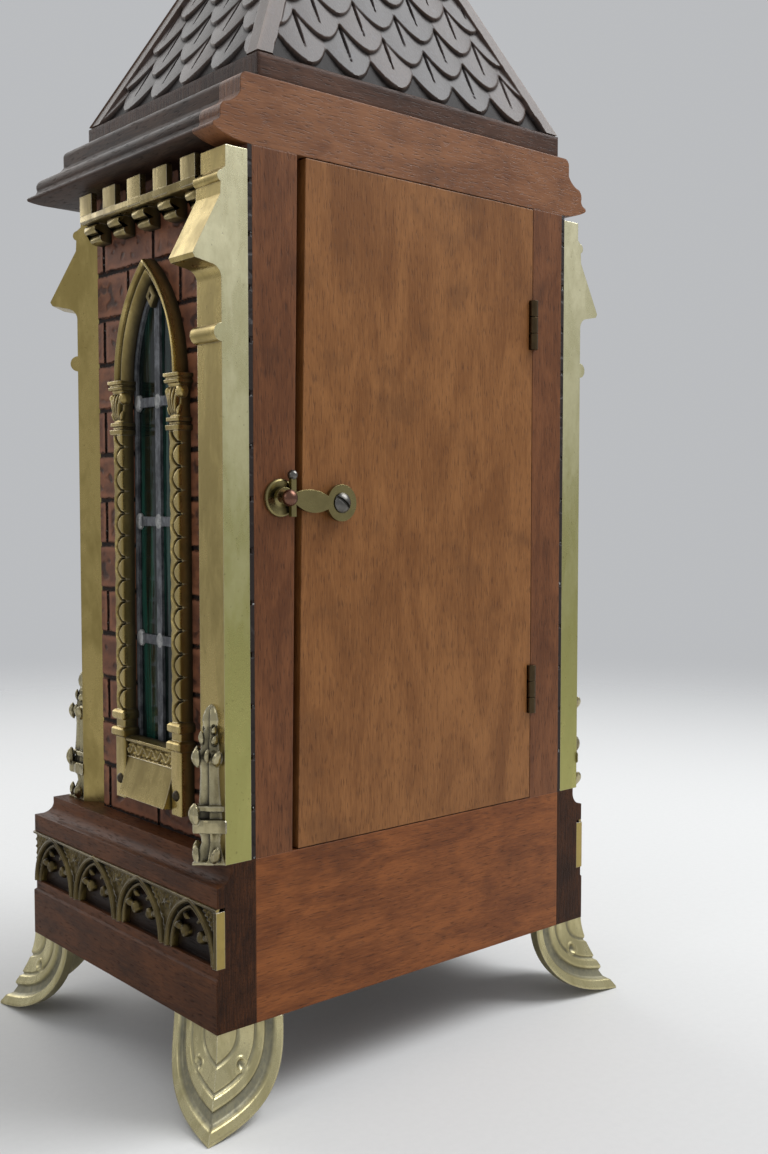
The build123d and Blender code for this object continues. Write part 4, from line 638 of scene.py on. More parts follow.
def cast(name, parts, finish, body, nodes=(), crease=38, values=None):
    """One object in metres at the origin from closed parts, riding on a body and standing for nodes."""
    points = np.concatenate([part[0] for part in parts]) * MM
    starts = np.cumsum([0] + [len(part[0]) for part in parts])
    faces = []
    for (own, groups), start in zip(parts, starts):
        for group in outward(own, groups):
            faces += (group + start).tolist()
    mesh = bpy.data.meshes.new(name)
    mesh.from_pydata(points.tolist(), [], faces)
    mesh.shade_smooth()
    mesh.set_sharp_from_angle(angle=math.radians(crease))
    for key, value in (values or {}).items():
        mesh.attributes.new(key, "FLOAT", "POINT").data.foreach_set("value", value.astype(np.float32))
    mesh.materials.append(FINISHES[finish])
    piece = placed(name, mesh)
    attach(piece, body)
    if nodes:
        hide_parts(*nodes)


# Walls: a root on the plan, the way along the wall and the way out of it
RIGHT = ((0, 1), (1, 0))
LEFT = ((0, 1), (-1, 0))
FRONT = ((1, 0), (0, -1))
BACK = ((1, 0), (0, 1))
SLANT = math.sqrt(0.5)
CORNER_X = WALL_X - CHAMFER / 2
CORNER_Y = WALL_Y + CHAMFER / 2
WALLS = {
    "right": ((WALL_X, 0), *RIGHT),
    "left": ((-WALL_X, 0), *LEFT),
    "front": ((0, WALL_Y), *FRONT),
    "corner_right": ((CORNER_X, CORNER_Y), (SLANT, SLANT), (SLANT, -SLANT)),
    "corner_left": ((-CORNER_X, CORNER_Y), (-SLANT, SLANT), (-SLANT, -SLANT)),
    "frieze_right": ((FRIEZE_X, 0), *RIGHT),
    "frieze_left": ((-FRIEZE_X, 0), *LEFT),
    "frieze_front": ((0, FRIEZE_Y), *FRONT),
    "roof_right": ((0, ROOF_MID_Y), *RIGHT),
    "roof_left": ((0, ROOF_MID_Y), *LEFT),
    "roof_front": ((0, ROOF_MID_Y), *FRONT),
    "roof_back": ((0, ROOF_MID_Y), *BACK),
}


def on_wall(parts, wall):
    """Parts drawn as (along, up, out) set on one of the walls."""
    root, run, way = WALLS[wall]
    turned_parts = []
    for points, faces in parts:
        along, up, out = points.T
        plan = [root[k] + along * run[k] + out * way[k] for k in range(2)]
        turned_parts.append((spots(*plan, up), faces))
    return turned_parts


def raised(line, out):
    """A line drawn as (along, up), lifted out of the wall."""
    return np.concatenate([line, np.full_like(line[:, :1], out)], 1)


def pod(middle, along, across, out, power=0.8, bend=0.0, rings=9, around=10):
    """Leaf or bead: ellipses across a line, swelling by a power of a half sine and bowed by bend."""
    run = np.linspace(0.02, 0.98, rings)[:, None, None]
    turn = turns(around)[None, :, None]
    swell = np.sin(np.pi * run) ** power
    middle, along, across, out = (np.asarray(v, float) for v in (middle, along, across, out))
    line = middle + along * (run - 0.5) + out * bend * np.sin(np.pi * run)
    return tube(line + swell * (across * 0.5 * np.cos(turn) + out * 0.5 * np.sin(turn)))


def curl(middle, radius, side):
    """Volute seen from the front: a dome with a spiral groove of one and a half turns."""
    share, turn = grid(np.linspace(0.03, 1, 12), turns(28))
    groove = np.cos(2 * np.pi * 1.5 * share - side * turn)
    high = radius * (0.85 * np.sqrt(1 - 0.97 * share**2) + 0.13 * groove * share)
    reach = radius * share
    rings = spots(reach * np.cos(turn), reach * np.sin(turn), high) + middle
    foot_ring = rings[-1:] * (1, 1, 0) + (0, 0, max(middle[2] - 1.5, 0))
    return tube(np.concatenate([rings, foot_ring]))


def turned(middle, axis, first, second, profile, around=24):
    """Round piece: a profile of (height, radius) carried round an axis."""
    high, radius = np.array(profile, float).T[:, :, None, None]
    turn = turns(around)[None, :, None]
    middle, axis, first, second = (np.asarray(v, float) for v in (middle, axis, first, second))
    return tube(middle + axis * high + radius * (first * np.cos(turn) + second * np.sin(turn)))


def block_stack(middle, profile, square, around=18):
    """Blocks on a wall as (along, up, out): rounded half squares of (height, half width, depth)."""
    up, half, depth = np.array(profile, float).T[:, :, None]
    turn = np.linspace(0, np.pi, around)[None, :]
    along = middle + half * np.sign(np.cos(turn)) * np.abs(np.cos(turn)) ** square
    out = depth * np.abs(np.sin(turn)) ** square
    return tube(spots(along, up, out))


def run_of(profile, level, spot, half, bevel=0.3):
    """A closed profile of (up from a level, out) carried along a wall, drawn in by a bevel at both ends."""
    outline = np.array(profile, float) + (level, 0)
    core = outline.mean(axis=0)
    reach = np.abs(outline - core).max()
    stops = np.array([-half, bevel - half, half - bevel, half])[:, None]
    scale = 1 - np.array([bevel, 0, 0, bevel])[:, None, None] / reach
    up, out = np.moveaxis(core + (outline - core) * scale, -1, 0)
    return tube(spots(spot + stops, up, out))


# Roof
def slate_field(x, s, pitch, half):
    """Slates over x along the rows and s up the slope: the topmost row that reaches a point shows there.

    A row's lower edge is a power curve for each slate; its face falls back from the tip to the head,
    and a slit narrows from the junction of the two slates above down to the middle of the open face.
    Each slate's own shade is the fraction left of a large sine of its place.
    Returns the height, each slate's own tone, the wear and painted highlight along its edge and the depth of
    shadow.
    """
    height = np.zeros_like(x)
    tone = np.full_like(x, 0.2)
    wear_and_highlight = np.zeros_like(x)
    low = np.full_like(x, 0.75)
    for k in range(int(s.max() / pitch) + 1):
        start = SLATE_START + k * pitch
        cell = x / SLATE_WIDTH + 0.5 * ((k + 1) % 2) + 0.5
        across = 2 * (cell % 1.0) - 1
        edge = start + SLATE_TIP * np.abs(across) ** 1.9
        inside = unit((s - edge) / 0.5)
        own = np.sin(12.9898 * np.floor(cell) + 78.233 * k) * 43758.5453 % 1.0
        opening = 0.06 + 0.42 * unit((s - start - 0.5 * pitch) / (0.55 * pitch))
        slit = unit(1.3 - np.abs(across) * SLATE_WIDTH / 2 / opening) * (s > start + 0.5 * pitch)
        cup = 0.5 * across**2
        face = SLATE_LIFT - SLATE_FALL * (s - start) - cup + 0.3 * (own - 0.5) - 0.8 * slit
        height += inside * (face - height)
        tone += inside * (own - tone)
        # Pale band along each slate's tip: wear together with a painted highlight.
        wear_and_highlight += inside * (unit(1 - (s - edge) / 1.1) - wear_and_highlight)
        # Painted shadow under each slate's lower edge, and below in its slit.
        under = unit((s - edge + 1.2) / 1.2) * (1 - inside)
        low = np.maximum(low * (1 - inside), 0.9 * under)
        low += inside * slit * (1 - low)
    near = half - np.abs(x)
    strip = unit((HIP_WIDTH - near) / 0.6)
    height += strip * (HIP_LIFT - height)
    tone += strip * (0.8 - tone)
    wear_and_highlight += strip * (0.35 + 0.65 * unit(1 - near / 2.0) - wear_and_highlight)
    low *= 1 - strip
    return height, tone, wear_and_highlight, low


def roof_slope(hand, half, run, across=300, up=246):
    """One slope: slates raised on a sloping plane and mitred to its neighbours at the hips."""
    rise = ROOF_APEX - ROOF_BASE
    length = math.hypot(run, rise)
    lean = rise / length
    flat = run / length
    top = (ROOF_CUT - ROOF_BASE) / lean
    s, u = grid(np.linspace(0, top, up), np.linspace(-1, 1, across))

    def width(height):
        return half * (1 - s / length + height * lean / run)

    def spot(x, height):
        return spots(x, ROOF_BASE + s * lean + height * flat, run - s * flat + height * lean)

    x = u * width(HIP_LIFT)
    height, *marks = slate_field(x, s, SLATE_RISE / lean, width(HIP_LIFT))
    part = panel(spot(x, height), spot(u * width(-SLATE_BED), np.full_like(x, -SLATE_BED)))
    spare = np.zeros(len(part[0]) - x.size)
    values = {key: np.append(mark, spare) for key, mark in zip(("tone", "wear_and_highlight", "low"), marks)}
    slope = on_wall([part], "roof_" + hand)
    cast("slates_" + hand, slope, "roof", "case", ["roof_slope_" + hand], 60, values)


def roof():
    """Four slopes of slates: two to front and back and two to the sides."""
    for hand in ("back", "front"):
        roof_slope(hand, ROOF_HALF, ROOF_RUN)
    for hand in ("right", "left"):
        roof_slope(hand, ROOF_RUN, ROOF_HALF)


# Feet: the relief across the nested arches, as shares of the way out from the corner and heights
FOOT_BANDS = (
    (0.00, 0.27, 0.29, 0.31, 0.33, 0.35, 0.52, 0.55, 0.57, 0.59,
     0.61, 0.68, 0.71, 0.73, 0.75, 0.84, 0.86, 0.88, 0.97, 1.00),
    (0.90, 0.80, 0.60, 0.05, 0.05, 0.65, 0.75, 0.70, 0.05, 0.05,
     0.85, 0.95, 0.70, 0.00, -0.6, -0.6, 0.10, 0.90, 1.00, 0.55),
)


def foot(name, side, end, levels=110, along=80):
    """Cast corner foot: half pointed arches nested from the corner outward, on a face that flares.

    The arches are one cubic curve scaled towards the corner; a profile across them raises the rim,
    the ridge and the inner field, round a small pierced eye; the face flares by a power of the depth,
    and the two wings meet on the diagonal.
    """
    scale, t = grid(np.linspace(0.004, 1, levels), np.linspace(0, 1, along))
    ends = [(-FOOT_WING, 0), (-FOOT_WING, -0.72 * FOOT_TOP), (-0.38 * FOOT_WING, -0.88 * FOOT_TOP),
            (FOOT_LEAD, -FOOT_TOP)]
    share = [(1 - t) ** 3, 3 * (1 - t) ** 2 * t, 3 * (1 - t) * t**2, t**3]
    run = scale * sum(w * p[0] for w, p in zip(share, ends))
    z = FOOT_TOP + scale * sum(w * p[1] for w, p in zip(share, ends))
    eye = np.hypot(run + 8.0, z - FOOT_TOP + 11.3)
    relief = np.interp(scale, *FOOT_BANDS) - 1.2 * hump(eye, 1.3) + 0.5 * hump(eye - 2.2, 0.6)

    def wings(out):
        bowed = FOOT_TOE * unit(1 - z / FOOT_TOP) ** 1.65 + out
        reach = run + t**6 * (bowed - FOOT_LEAD * scale)
        near = spots(FOOT_X + reach, BACK_Y + bowed, z)
        far = spots(FOOT_X + bowed, BACK_Y + reach, z)
        return np.concatenate([near, far[:, -2::-1]], axis=1) * (side, end, 1)

    part = slab(wings(relief - 1.0), wings(np.full_like(relief, -FOOT_WALL)))
    ground = unit((0.75 - relief) / 0.9)
    ground = np.concatenate([ground, ground[:, -2::-1]], axis=1).ravel()
    low = np.append(ground, np.full(ground.size, 0.6))
    cast("cast_" + name, [part], "foot", "case", [name], 50, {"low": low})


def feet():
    """One foot under each corner of the plinth."""
    for end, far in ((1, "back"), (-1, "front")):
        for side, hand in ((1, "right"), (-1, "left")):
            foot(f"foot_{far}_{hand}", side, end)


# Windows
def lancet(half, low, spring, count=26):
    """Pointed arch as (along, up): a jamb, then an arc struck from beyond the middle, and its mirror."""
    radius = half + ARCH_OFFSET
    turn = np.linspace(0, math.acos(ARCH_OFFSET / radius), count)
    along = np.concatenate([[half], radius * np.cos(turn) - ARCH_OFFSET])
    up = np.concatenate([[low], spring + radius * np.sin(turn)])
    return spots(np.append(along, -along[-2::-1]), np.append(up, up[-2::-1]))


def arch_moulding(middle, spring):
    """A splayed reveal, a thin bead, a groove and a bold outer roll, carried round the pointed arch."""
    profile = [(-0.3, 0.0), (-0.3, 0.8), (1.2, 3.0), (1.4, 3.9), (1.7, 4.3), (2.0, 4.2), (2.3, 3.2),
               (2.6, 2.7), (2.9, 3.2), (3.1, 4.6), (3.4, 5.5), (3.9, 5.9), (4.4, 5.6), (4.7, 4.7),
               (4.8, 3.4), (4.8, 0.0)]
    rings = [raised(lancet(WINDOW_HALF + off, spring - 1.0, spring), out) for off, out in profile]
    return tube(np.stack(rings, 1) + (middle, 0, 0))


def column(middle, low, high):
    """Flat shaft with a scalloped edge and a groove that swings across it at a steady pace."""
    up, u = grid(np.arange(low, high, 0.45), np.linspace(-1, 1, 41))
    wave = np.abs(np.sin(np.pi * (up - low) / COLUMN_SWING))
    across = COLUMN_HALF * np.where(u < 0, u * (0.78 + 0.22 * wave), u)
    groove = hump((across / COLUMN_HALF - 1.0 + 1.45 * wave) * COLUMN_HALF, 0.6)
    soft = unit((np.abs(u) - 0.86) / 0.14)
    out = FRAME_DEPTH + 0.4 - 2.6 * groove - 0.9 * soft**2
    front = spots(middle + across, up, out)
    return panel(front, front * (1, 1, 0))


def capital(middle, low, high):
    """Abacus over a bell with three leaf ribs and a volute at each side, with rings at its neck."""
    neck = [(0.0, 2.9, 0.0), (0.3, 4.1, 1.2), (1.9, 4.3, 1.4), (2.3, 3.2, 0.3), (3.0, 3.1, 0.2),
            (3.3, 4.0, 1.1), (4.5, 4.0, 1.1), (4.8, 3.0, 0.0), (0.4 * (high - low), 2.6, -1.0)]
    head = [(-6.0, 2.9, -0.9), (-3.8, 4.0, 0.4), (-3.5, 4.7, 1.4), (-2.6, 4.7, 1.6), (-2.3, 4.2, 1.0),
            (-1.8, 4.2, 1.0), (-1.4, 4.8, 1.8), (-0.3, 4.8, 1.8)]
    bell = [np.array(neck) + (low, 0, FRAME_DEPTH), np.array(head) + (high, 0, FRAME_DEPTH)]
    parts = [block_stack(middle, np.concatenate(bell), 0.18)]
    # Each leaf: its place, its run, its width, its depth, the power of its swelling and its bend
    leaves = [((2.0, -10.2, -0.4), (2.0, 9.0, 0.4), 1.0, 2.4, 0.35, 0.2),
              ((2.9, -13.0, -0.6), (1.2, 4.0, 0.0), 1.3, 2.2, 0.5, 0.1),
              ((0.75, -9.6, -0.4), (0.7, 9.6, 0.4), 0.8, 2.4, 0.35, 0.3)]
    root = np.array([middle, high, FRAME_DEPTH])
    for side in (-1, 1):
        facing = np.array([side, 1, 1])
        parts.append(curl(root + facing * (3.3, -6.6, -1.0), 2.2, side))
        for spot, along, wide, deep, power, bend in leaves:
            spot, along = root + facing * spot, facing * along
            parts.append(pod(spot, along, (wide, 0, 0), (0, 0, deep), power, bend))
    return parts


def column_base(middle):
    """Pedestal under two bold square blocks with a hollow between them."""
    profile = [(FRAME_LOW - BASE_LOW, 3.4, 0.5), (-0.5, 3.4, 0.5), (-0.2, 4.2, 1.3), (0.5, 4.6, 1.9),
               (2.5, 4.6, 1.9), (3.2, 4.0, 1.3), (3.4, 3.1, 0.3), (6.0, 3.1, 0.3), (6.2, 3.9, 1.1),
               (6.9, 4.4, 1.6), (8.8, 4.4, 1.6), (9.6, 3.7, 0.9), (9.9, 2.9, 0.1)]
    return block_stack(middle, np.array(profile) + (BASE_LOW, 0, FRAME_DEPTH), 0.14)


def sill(middle):
    """Sloping plate under a band of scrolls, a vine that waves with a bud in each bay, and a ledge."""
    half = COLUMN_MID - COLUMN_HALF - 0.8
    low, high = BASE_LOW - 7.2, BASE_LOW - 1.4
    bay = 6.4
    v, u = grid(np.linspace(0, 1, 17), np.linspace(-half, half, 90))
    sway = np.sin(2 * np.pi * u / bay)
    bud = np.hypot((u % (bay / 2)) - bay / 4, (v - 0.5 + 0.24 * np.sign(sway)) * 5.8)
    edge = unit((np.abs(v - 0.5) - 0.42) / 0.04)
    rise = np.maximum(hump(v - (0.5 + 0.26 * sway), 0.13), hump(bud, 0.8))
    band = spots(middle + u, low + v * (high - low), 3.4 + 1.4 * np.maximum(rise, edge))
    ledge = [(-0.2, 0), (-0.2, 4.9), (0.3, 5.4), (1.1, 5.2), (1.6, 3.6), (1.6, 0)]
    up, across = grid(np.linspace(0, 1, 12), np.linspace(-half, half, 24))
    fall = 8.6 - 4.6 * up**0.85
    plate = spots(middle + across, FRAME_LOW + 2.0 + up * (low - FRAME_LOW - 1.6), fall)
    under = spots(middle + across, FRAME_LOW + 0.6 + up * (low - FRAME_LOW - 0.2), 0 * fall)
    return [panel(band, band * (1, 1, 0)), run_of(ledge, high, middle, half), slab(plate, under)]


def lozenge(middle, apex):
    """Small pierced diamond hung under the point of the arch."""
    profile = [(-0.6, 1.0), (1.5, 1.0), (2.1, 0.78), (1.9, 0.36), (1.0, 0.3), (0.9, 0.02)]
    return turned((middle, apex - 6.8, 0.6), (0, 0, 1), (3.0, 0, 0), (0, 4.0, 0), profile, 4)


def window_frame(middle, spring, tall):
    """Moulded arch on two columns, with capitals of a height, pedestals, a sill and a lozenge."""
    apex = spring + math.sqrt((WINDOW_HALF + ARCH_OFFSET) ** 2 - ARCH_OFFSET**2)
    parts = [arch_moulding(middle, spring), lozenge(middle, apex)]
    for side in (-1, 1):
        spot = middle + side * COLUMN_MID
        parts.append(column(spot, BASE_LOW + 9.6, spring - tall + 0.4))
        parts.append(column_base(spot))
        parts += capital(spot, spring - tall, spring)
    return parts + sill(middle)


def solder(middle, bars):
    """Flattened drops of solder where the lead strips cross."""
    drop = [(-0.8, 2.4), (0.0, 2.3), (0.4, 1.8), (0.65, 1.0), (0.7, 0.1)]
    spots = [(middle + side * (WINDOW_HALF - 2.4), up) for up in bars for side in (-1, 0, 1)]
    return [turned((a, up, -0.35), (0, 0, 1), (1.0, 0, 0), (0, 1.3, 0), drop, 14) for a, up in spots]


def nails(middle):
    """Two domed nails through the pedestals of a window frame."""
    dome = [(-0.3, 2.0), (0.2, 1.95), (0.8, 1.5), (1.15, 0.8), (1.25, 0.1)]
    spots = [(middle + side * COLUMN_MID, NAIL_Z, FRAME_DEPTH + 0.4) for side in (-1, 1)]
    return [turned(spot, (0, 0, 1), (1, 0, 0), (0, 1, 0), dome, 16) for spot in spots]


def windows():
    """A tall window on each side and two short ones under the dial."""
    side = (SIDE_WINDOW_Y, SIDE_SPRING, SIDE_CAPITAL, LEAD_BARS)
    short = (FRONT_SPRING, FRONT_CAPITAL, LEAD_BARS[:1])
    places = [("right", *side), ("left", *side)]
    places += [("front", way * FRONT_WINDOW_X, *short) for way in (-1, 1)]
    frames, drops, heads = [], [], []
    for wall, middle, spring, tall, bars in places:
        frames += on_wall(window_frame(middle, spring, tall), wall)
        drops += on_wall(solder(middle, bars), wall)
        heads += on_wall(nails(middle), wall)
    cast("cast_window_frames", frames, "gilt", "case", ["window_frames"])
    cast("solder_drops", drops, "solder", "case")
    cast("frame_nails", heads, "nail", "case")


# Pinnacles
def pinnacle(middle):
    """Canopy, pedestal and crocketed spire on the face of a buttress.

    A profile of (height, half width, reach) carries a ridged plan, cut by flutes that are shallow
    on the plates; leaves stand at its sides and along its ridge.
    """
    profile = [(0.0, 7.0, 8.2), (0.8, 7.0, 8.2), (1.6, 6.4, 7.4), (4.0, 5.2, 5.8), (7.0, 4.3, 4.5),
               (9.0, 4.6, 4.8), (10.2, 5.4, 5.6), (10.4, 7.6, 7.6), (11.0, 8.0, 8.0), (14.2, 8.0, 8.0),
               (14.8, 7.5, 7.5), (15.0, 5.6, 5.8), (17.4, 5.2, 5.4), (17.6, 6.8, 7.0), (19.2, 6.8, 7.0),
               (19.5, 5.0, 5.5), (24.0, 4.4, 5.1), (30.0, 3.9, 4.8), (32.6, 4.1, 5.0), (33.2, 5.4, 5.8),
               (34.8, 6.1, 6.4), (36.6, 5.6, 5.9), (37.4, 4.2, 4.6), (39.5, 3.8, 4.4), (43.0, 3.0, 3.6),
               (44.4, 2.5, 3.0), (45.4, 3.4, 3.6), (47.2, 3.7, 3.9), (48.8, 3.3, 3.5), (50.2, 2.6, 2.8),
               (51.3, 1.7, 1.9), (52.0, 0.4, 0.5)]
    up, half, reach = np.array(profile).T[:, :, None]
    turn = np.linspace(-1, 1, 33)[None, :]
    flute = np.where(half > 6.5, 0.10, 0.42) * np.sin(2 * np.pi * np.abs(turn)) ** 2
    bow = (1 - np.abs(turn) ** 1.04) * (1 - flute)
    parts = [tube(spots(middle + half * turn, PLINTH_TOP + up, reach * bow))]
    # Each leaf: its place along, its height, its reach out, its length, width and depth, and its lean
    side_leaves = [(5.2, 3.0, 2.2, 6.4, 2.6, 3.8, 2.0), (5.4, 34.8, 1.6, 5.8, 2.4, 3.4, 1.8),
                   (2.7, 35.6, 3.6, 5.0, 1.8, 2.4, 0.8), (3.6, 40.4, 1.2, 4.0, 1.6, 2.6, 1.0),
                   (2.8, 43.6, 1.0, 3.0, 1.4, 2.0, 0.6)]
    ridge_leaves = [(0, 3.2, 6.4, 6.4, 3.0, 2.4, 0), (0, 16.4, 6.8, 8.0, 4.6, 3.68, 0),
                    (0, 35.0, 6.0, 6.6, 3.6, 2.88, 0), (0, 41.2, 4.1, 5.0, 2.2, 1.76, 0)]
    for side, leaves in ((-1, side_leaves), (1, side_leaves), (1, ridge_leaves)):
        for along, rise, out, tall, wide, deep, lean in leaves:
            spot = (middle + side * along, PLINTH_TOP + rise, out)
            parts.append(pod(spot, (side * lean, tall, 0.4), (wide, 0, 0), (0, 0, deep), 0.6, 0.15, 7, 8))
    return [(points + (0, 0, SHAFT_DEPTH), faces) for points, faces in parts]


def pinnacles():
    """One pinnacle at the foot of each buttress."""
    parts = []
    for hand in ("right", "left"):
        parts += on_wall(pinnacle(BACK_Y - BUTTRESS_HALF), hand)
        parts += on_wall(pinnacle(0.0), "corner_" + hand)
    cast("cast_pinnacles", parts, "spire", "case", ["pinnacles"], 30)


# Battlements
def parapet(middle, count):
    """Merlons on a shelf with a roll under it, each over a corbel of two rolls in an S curve."""
    shelf = [(0, 0), (0, 7.6), (0.3, 8.3), (0.9, 8.8), (2.8, 8.8), (3.0, 8.5), (3.0, 0)]
    merlon = [(0.5, 6.3), (0.5, 8.7), (10.2, 8.8), (10.5, 8.5), (10.5, 6.4)]
    turn = np.radians(np.linspace(100, -60, 9))
    upper = spots(1.8 * np.sin(turn) - 2.0, 2.0 * np.cos(turn) + 5.5)
    lower = spots(1.7 * np.sin(turn) - 5.2, 1.8 * np.cos(turn) + 3.2)
    corbel = [(0.4, 0), (0.4, 5.0), *upper, *lower, (-7.0, 2.6), (-7.0, 0)]
    parts = [run_of(shelf, SHELF_LOW, middle, MERLON_PITCH * (count - 1) / 2 + MERLON_HALF)]
    for k in range(count):
        spot = middle + MERLON_PITCH * (k - (count - 1) / 2)
        parts.append(run_of(merlon, SHELF_LOW, spot, MERLON_HALF))
        parts.append(run_of(corbel, SHELF_LOW, spot, CORBEL_HALF, 0.4))
    return parts


def battlements():
    """A parapet on each side, between the buttresses, and one across the front."""
    side_middle = (BACK_Y - 2 * BUTTRESS_HALF + WALL_Y + CHAMFER) / 2
    parts = []
    for wall, middle, count in (("right", side_middle, 5), ("left", side_middle, 5), ("front", 0.0, 6)):
        parts += on_wall(parapet(middle, count), wall)
    cast("cast_battlements", parts, "parapet", "case", ["battlements"], 35)


# Arcade friezes
def frieze_arch(spot, half, rise):
    """Pointed arch of the arcade: two arcs through the feet and the point, as (along, up)."""
    radius = (half**2 + rise**2) / (2 * half)
    turn = np.linspace(0, math.acos((radius - half) / radius), 20)
    along = radius * np.cos(turn) - radius + half
    up = radius * np.sin(turn)
    return spots(spot + np.append(along, -along[-2::-1]), FRIEZE_LOW + np.append(up, up[-2::-1]))


def rib(spot, half, rise, inner, outer, base, high):
    """Half-round rib over the arcade arch, between two offsets from it."""
    turn = np.radians(np.linspace(180, 0, 7))
    mid, wide = (inner + outer) / 2, (outer - inner) / 2
    bow = [(mid + wide * math.cos(a), base + (high - base) * math.sin(a)) for a in turn]
    profile = [(inner, 0.0), *bow, (outer, 0.0)]
    rings = [raised(frieze_arch(spot, half + off, rise + off), out) for off, out in profile]
    return tube(np.stack(rings, 1))


def spandrel(left, right, arch_left, arch_right, half, rise):
    """Plate above the backs of two arches whose middles are given, netted with a small relief."""
    along, share = grid(np.linspace(left, right, 44), np.linspace(0, 1, 22))
    radius = (half**2 + rise**2) / (2 * half)
    off = np.minimum(np.abs(along - arch_left), np.abs(along - arch_right))
    dip = np.sqrt(np.maximum(radius**2 - (np.minimum(off, half) + radius - half) ** 2, 0))
    low = FRIEZE_LOW + np.where(off < half, dip, 0)
    up = low + share * (FRIEZE_TOP - low)
    middle = (arch_left + arch_right) / 2
    net = np.cos(np.pi * (along - middle + up) / 2.6) * np.cos(np.pi * (along - middle - up) / 2.6)
    front = spots(along, up, 1.7 + 0.7 * net**2)
    return slab(front, front * (1, 1, 0))


def rosette(along, up, radius, out):
    """Five-petalled flower: a dome rippled round its rim, with a button in the middle."""
    share, turn = grid(np.linspace(0.02, 1, 12), turns(40))
    petal = 0.5 + 0.5 * np.cos(5 * turn)
    reach = radius * share * (0.8 + 0.2 * petal * share)
    bowl = 1.2 * (0.35 + 0.65 * petal) * np.sin(np.pi * share) ** 0.8
    high = out + bowl + 1.3 * hump(share, 0.22)
    rings = spots(along + reach * np.cos(turn), up + reach * np.sin(turn), high)
    return tube(np.concatenate([rings, rings[-1:] * (1, 1, 0)]))


def arcade(length, middle, count):
    """Row of arches: two ribs each, volute cusps inside, netted spandrels with flowers, and a top bar."""
    pitch = length / count
    half = (pitch - 5.6) / 2
    rise = FRIEZE_TOP - FRIEZE_LOW - 2.0
    parts = []
    for k in range(count):
        spot = middle + pitch * (k - (count - 1) / 2)
        parts.append(rib(spot, half, rise, 0.1, 2.4, 1.6, 3.7))
        parts.append(rib(spot, half, rise, -2.0, -0.2, 1.0, 2.8))
        for side in (-1, 1):
            arm = (spot + side * half * 0.68, FRIEZE_LOW + rise * 0.46, 1.1)
            parts.append(pod(arm, (-side * 7.0, -1.6, 0), (0.6, 3.0, 0), (0, 0, 2.4), 0.6, 0.1, 8, 8))
            parts.append(curl((spot + side * half * 0.36, FRIEZE_LOW + rise * 0.40, 0.8), 2.3, side))
            bud = (spot + side * half * 0.30, FRIEZE_LOW + rise * 0.70, 1.1)
            parts.append(pod(bud, (-side * 3.6, -1.4, 0), (0.5, 2.2, 0), (0, 0, 2.2), 0.6, 0.1, 7, 8))
    for k in range(count + 1):
        edge = middle + pitch * (k - count / 2)
        left = max(edge - pitch / 2, middle - length / 2)
        right = min(edge + pitch / 2, middle + length / 2)
        parts.append(spandrel(left, right, edge - pitch / 2, edge + pitch / 2, half, rise))
        if 0 < k < count:
            parts.append(rosette(edge, FRIEZE_TOP - 5.2, 3.2, 1.4))
    bar = [(-1.5, 0), (-1.5, 2.2), (-1.1, 3.3), (-0.4, 3.4), (0, 2.6), (0, 0)]
    parts.append(run_of(bar, FRIEZE_TOP, middle, length / 2, 0.1))
    return parts


def friezes():
    """An arcade on each side, with a plate at its rear end, and one across the front."""
    length = FRIEZE_REAR - FRIEZE_Y + 3.3
    tall = FRIEZE_TOP - FRIEZE_LOW - 1.2
    end = [(0, 0), (0, 3.4), (tall, 3.4), (tall, 0)]
    side = arcade(length, FRIEZE_REAR - 0.4 - length / 2, 4)
    side.append(run_of(end, FRIEZE_LOW, FRIEZE_REAR - 0.9, 0.9, 0.05))
    parts = on_wall(side, "frieze_right") + on_wall(side, "frieze_left")
    parts += on_wall(arcade(2 * FRIEZE_X, 0.0, 5), "frieze_front")
    cast("cast_friezes", parts, "bronze", "case", ["arcade_friezes"], 35)


# Latch
def screw_head(x, top, z, radius=3.5, slant=math.radians(-38)):
    """Domed round head: a square grid drawn to a disc, falling to its rim, with a slanting slot."""
    stops = np.concatenate([np.linspace(-1, -0.17, 14), [-0.15, 0.15], np.linspace(0.17, 1, 14)])
    u, v = grid(np.linspace(-1, 1, 30), stops)
    a, b = u * np.sqrt(1 - v**2 / 2), v * np.sqrt(1 - u**2 / 2)
    far = np.minimum(np.hypot(a, b), 1)
    high = top - 1.6 * far**2 - 0.4 * far**8 - 1.1 * (np.abs(v) < 0.16)
    along = radius * (a * math.cos(slant) - b * math.sin(slant))
    rise = radius * (a * math.sin(slant) + b * math.cos(slant))
    head = spots(x - along, np.maximum(high, top - 1.95), z + rise)
    back = spots(x - along, np.full_like(high, top - 2.0), z + rise)
    return panel(head, back)


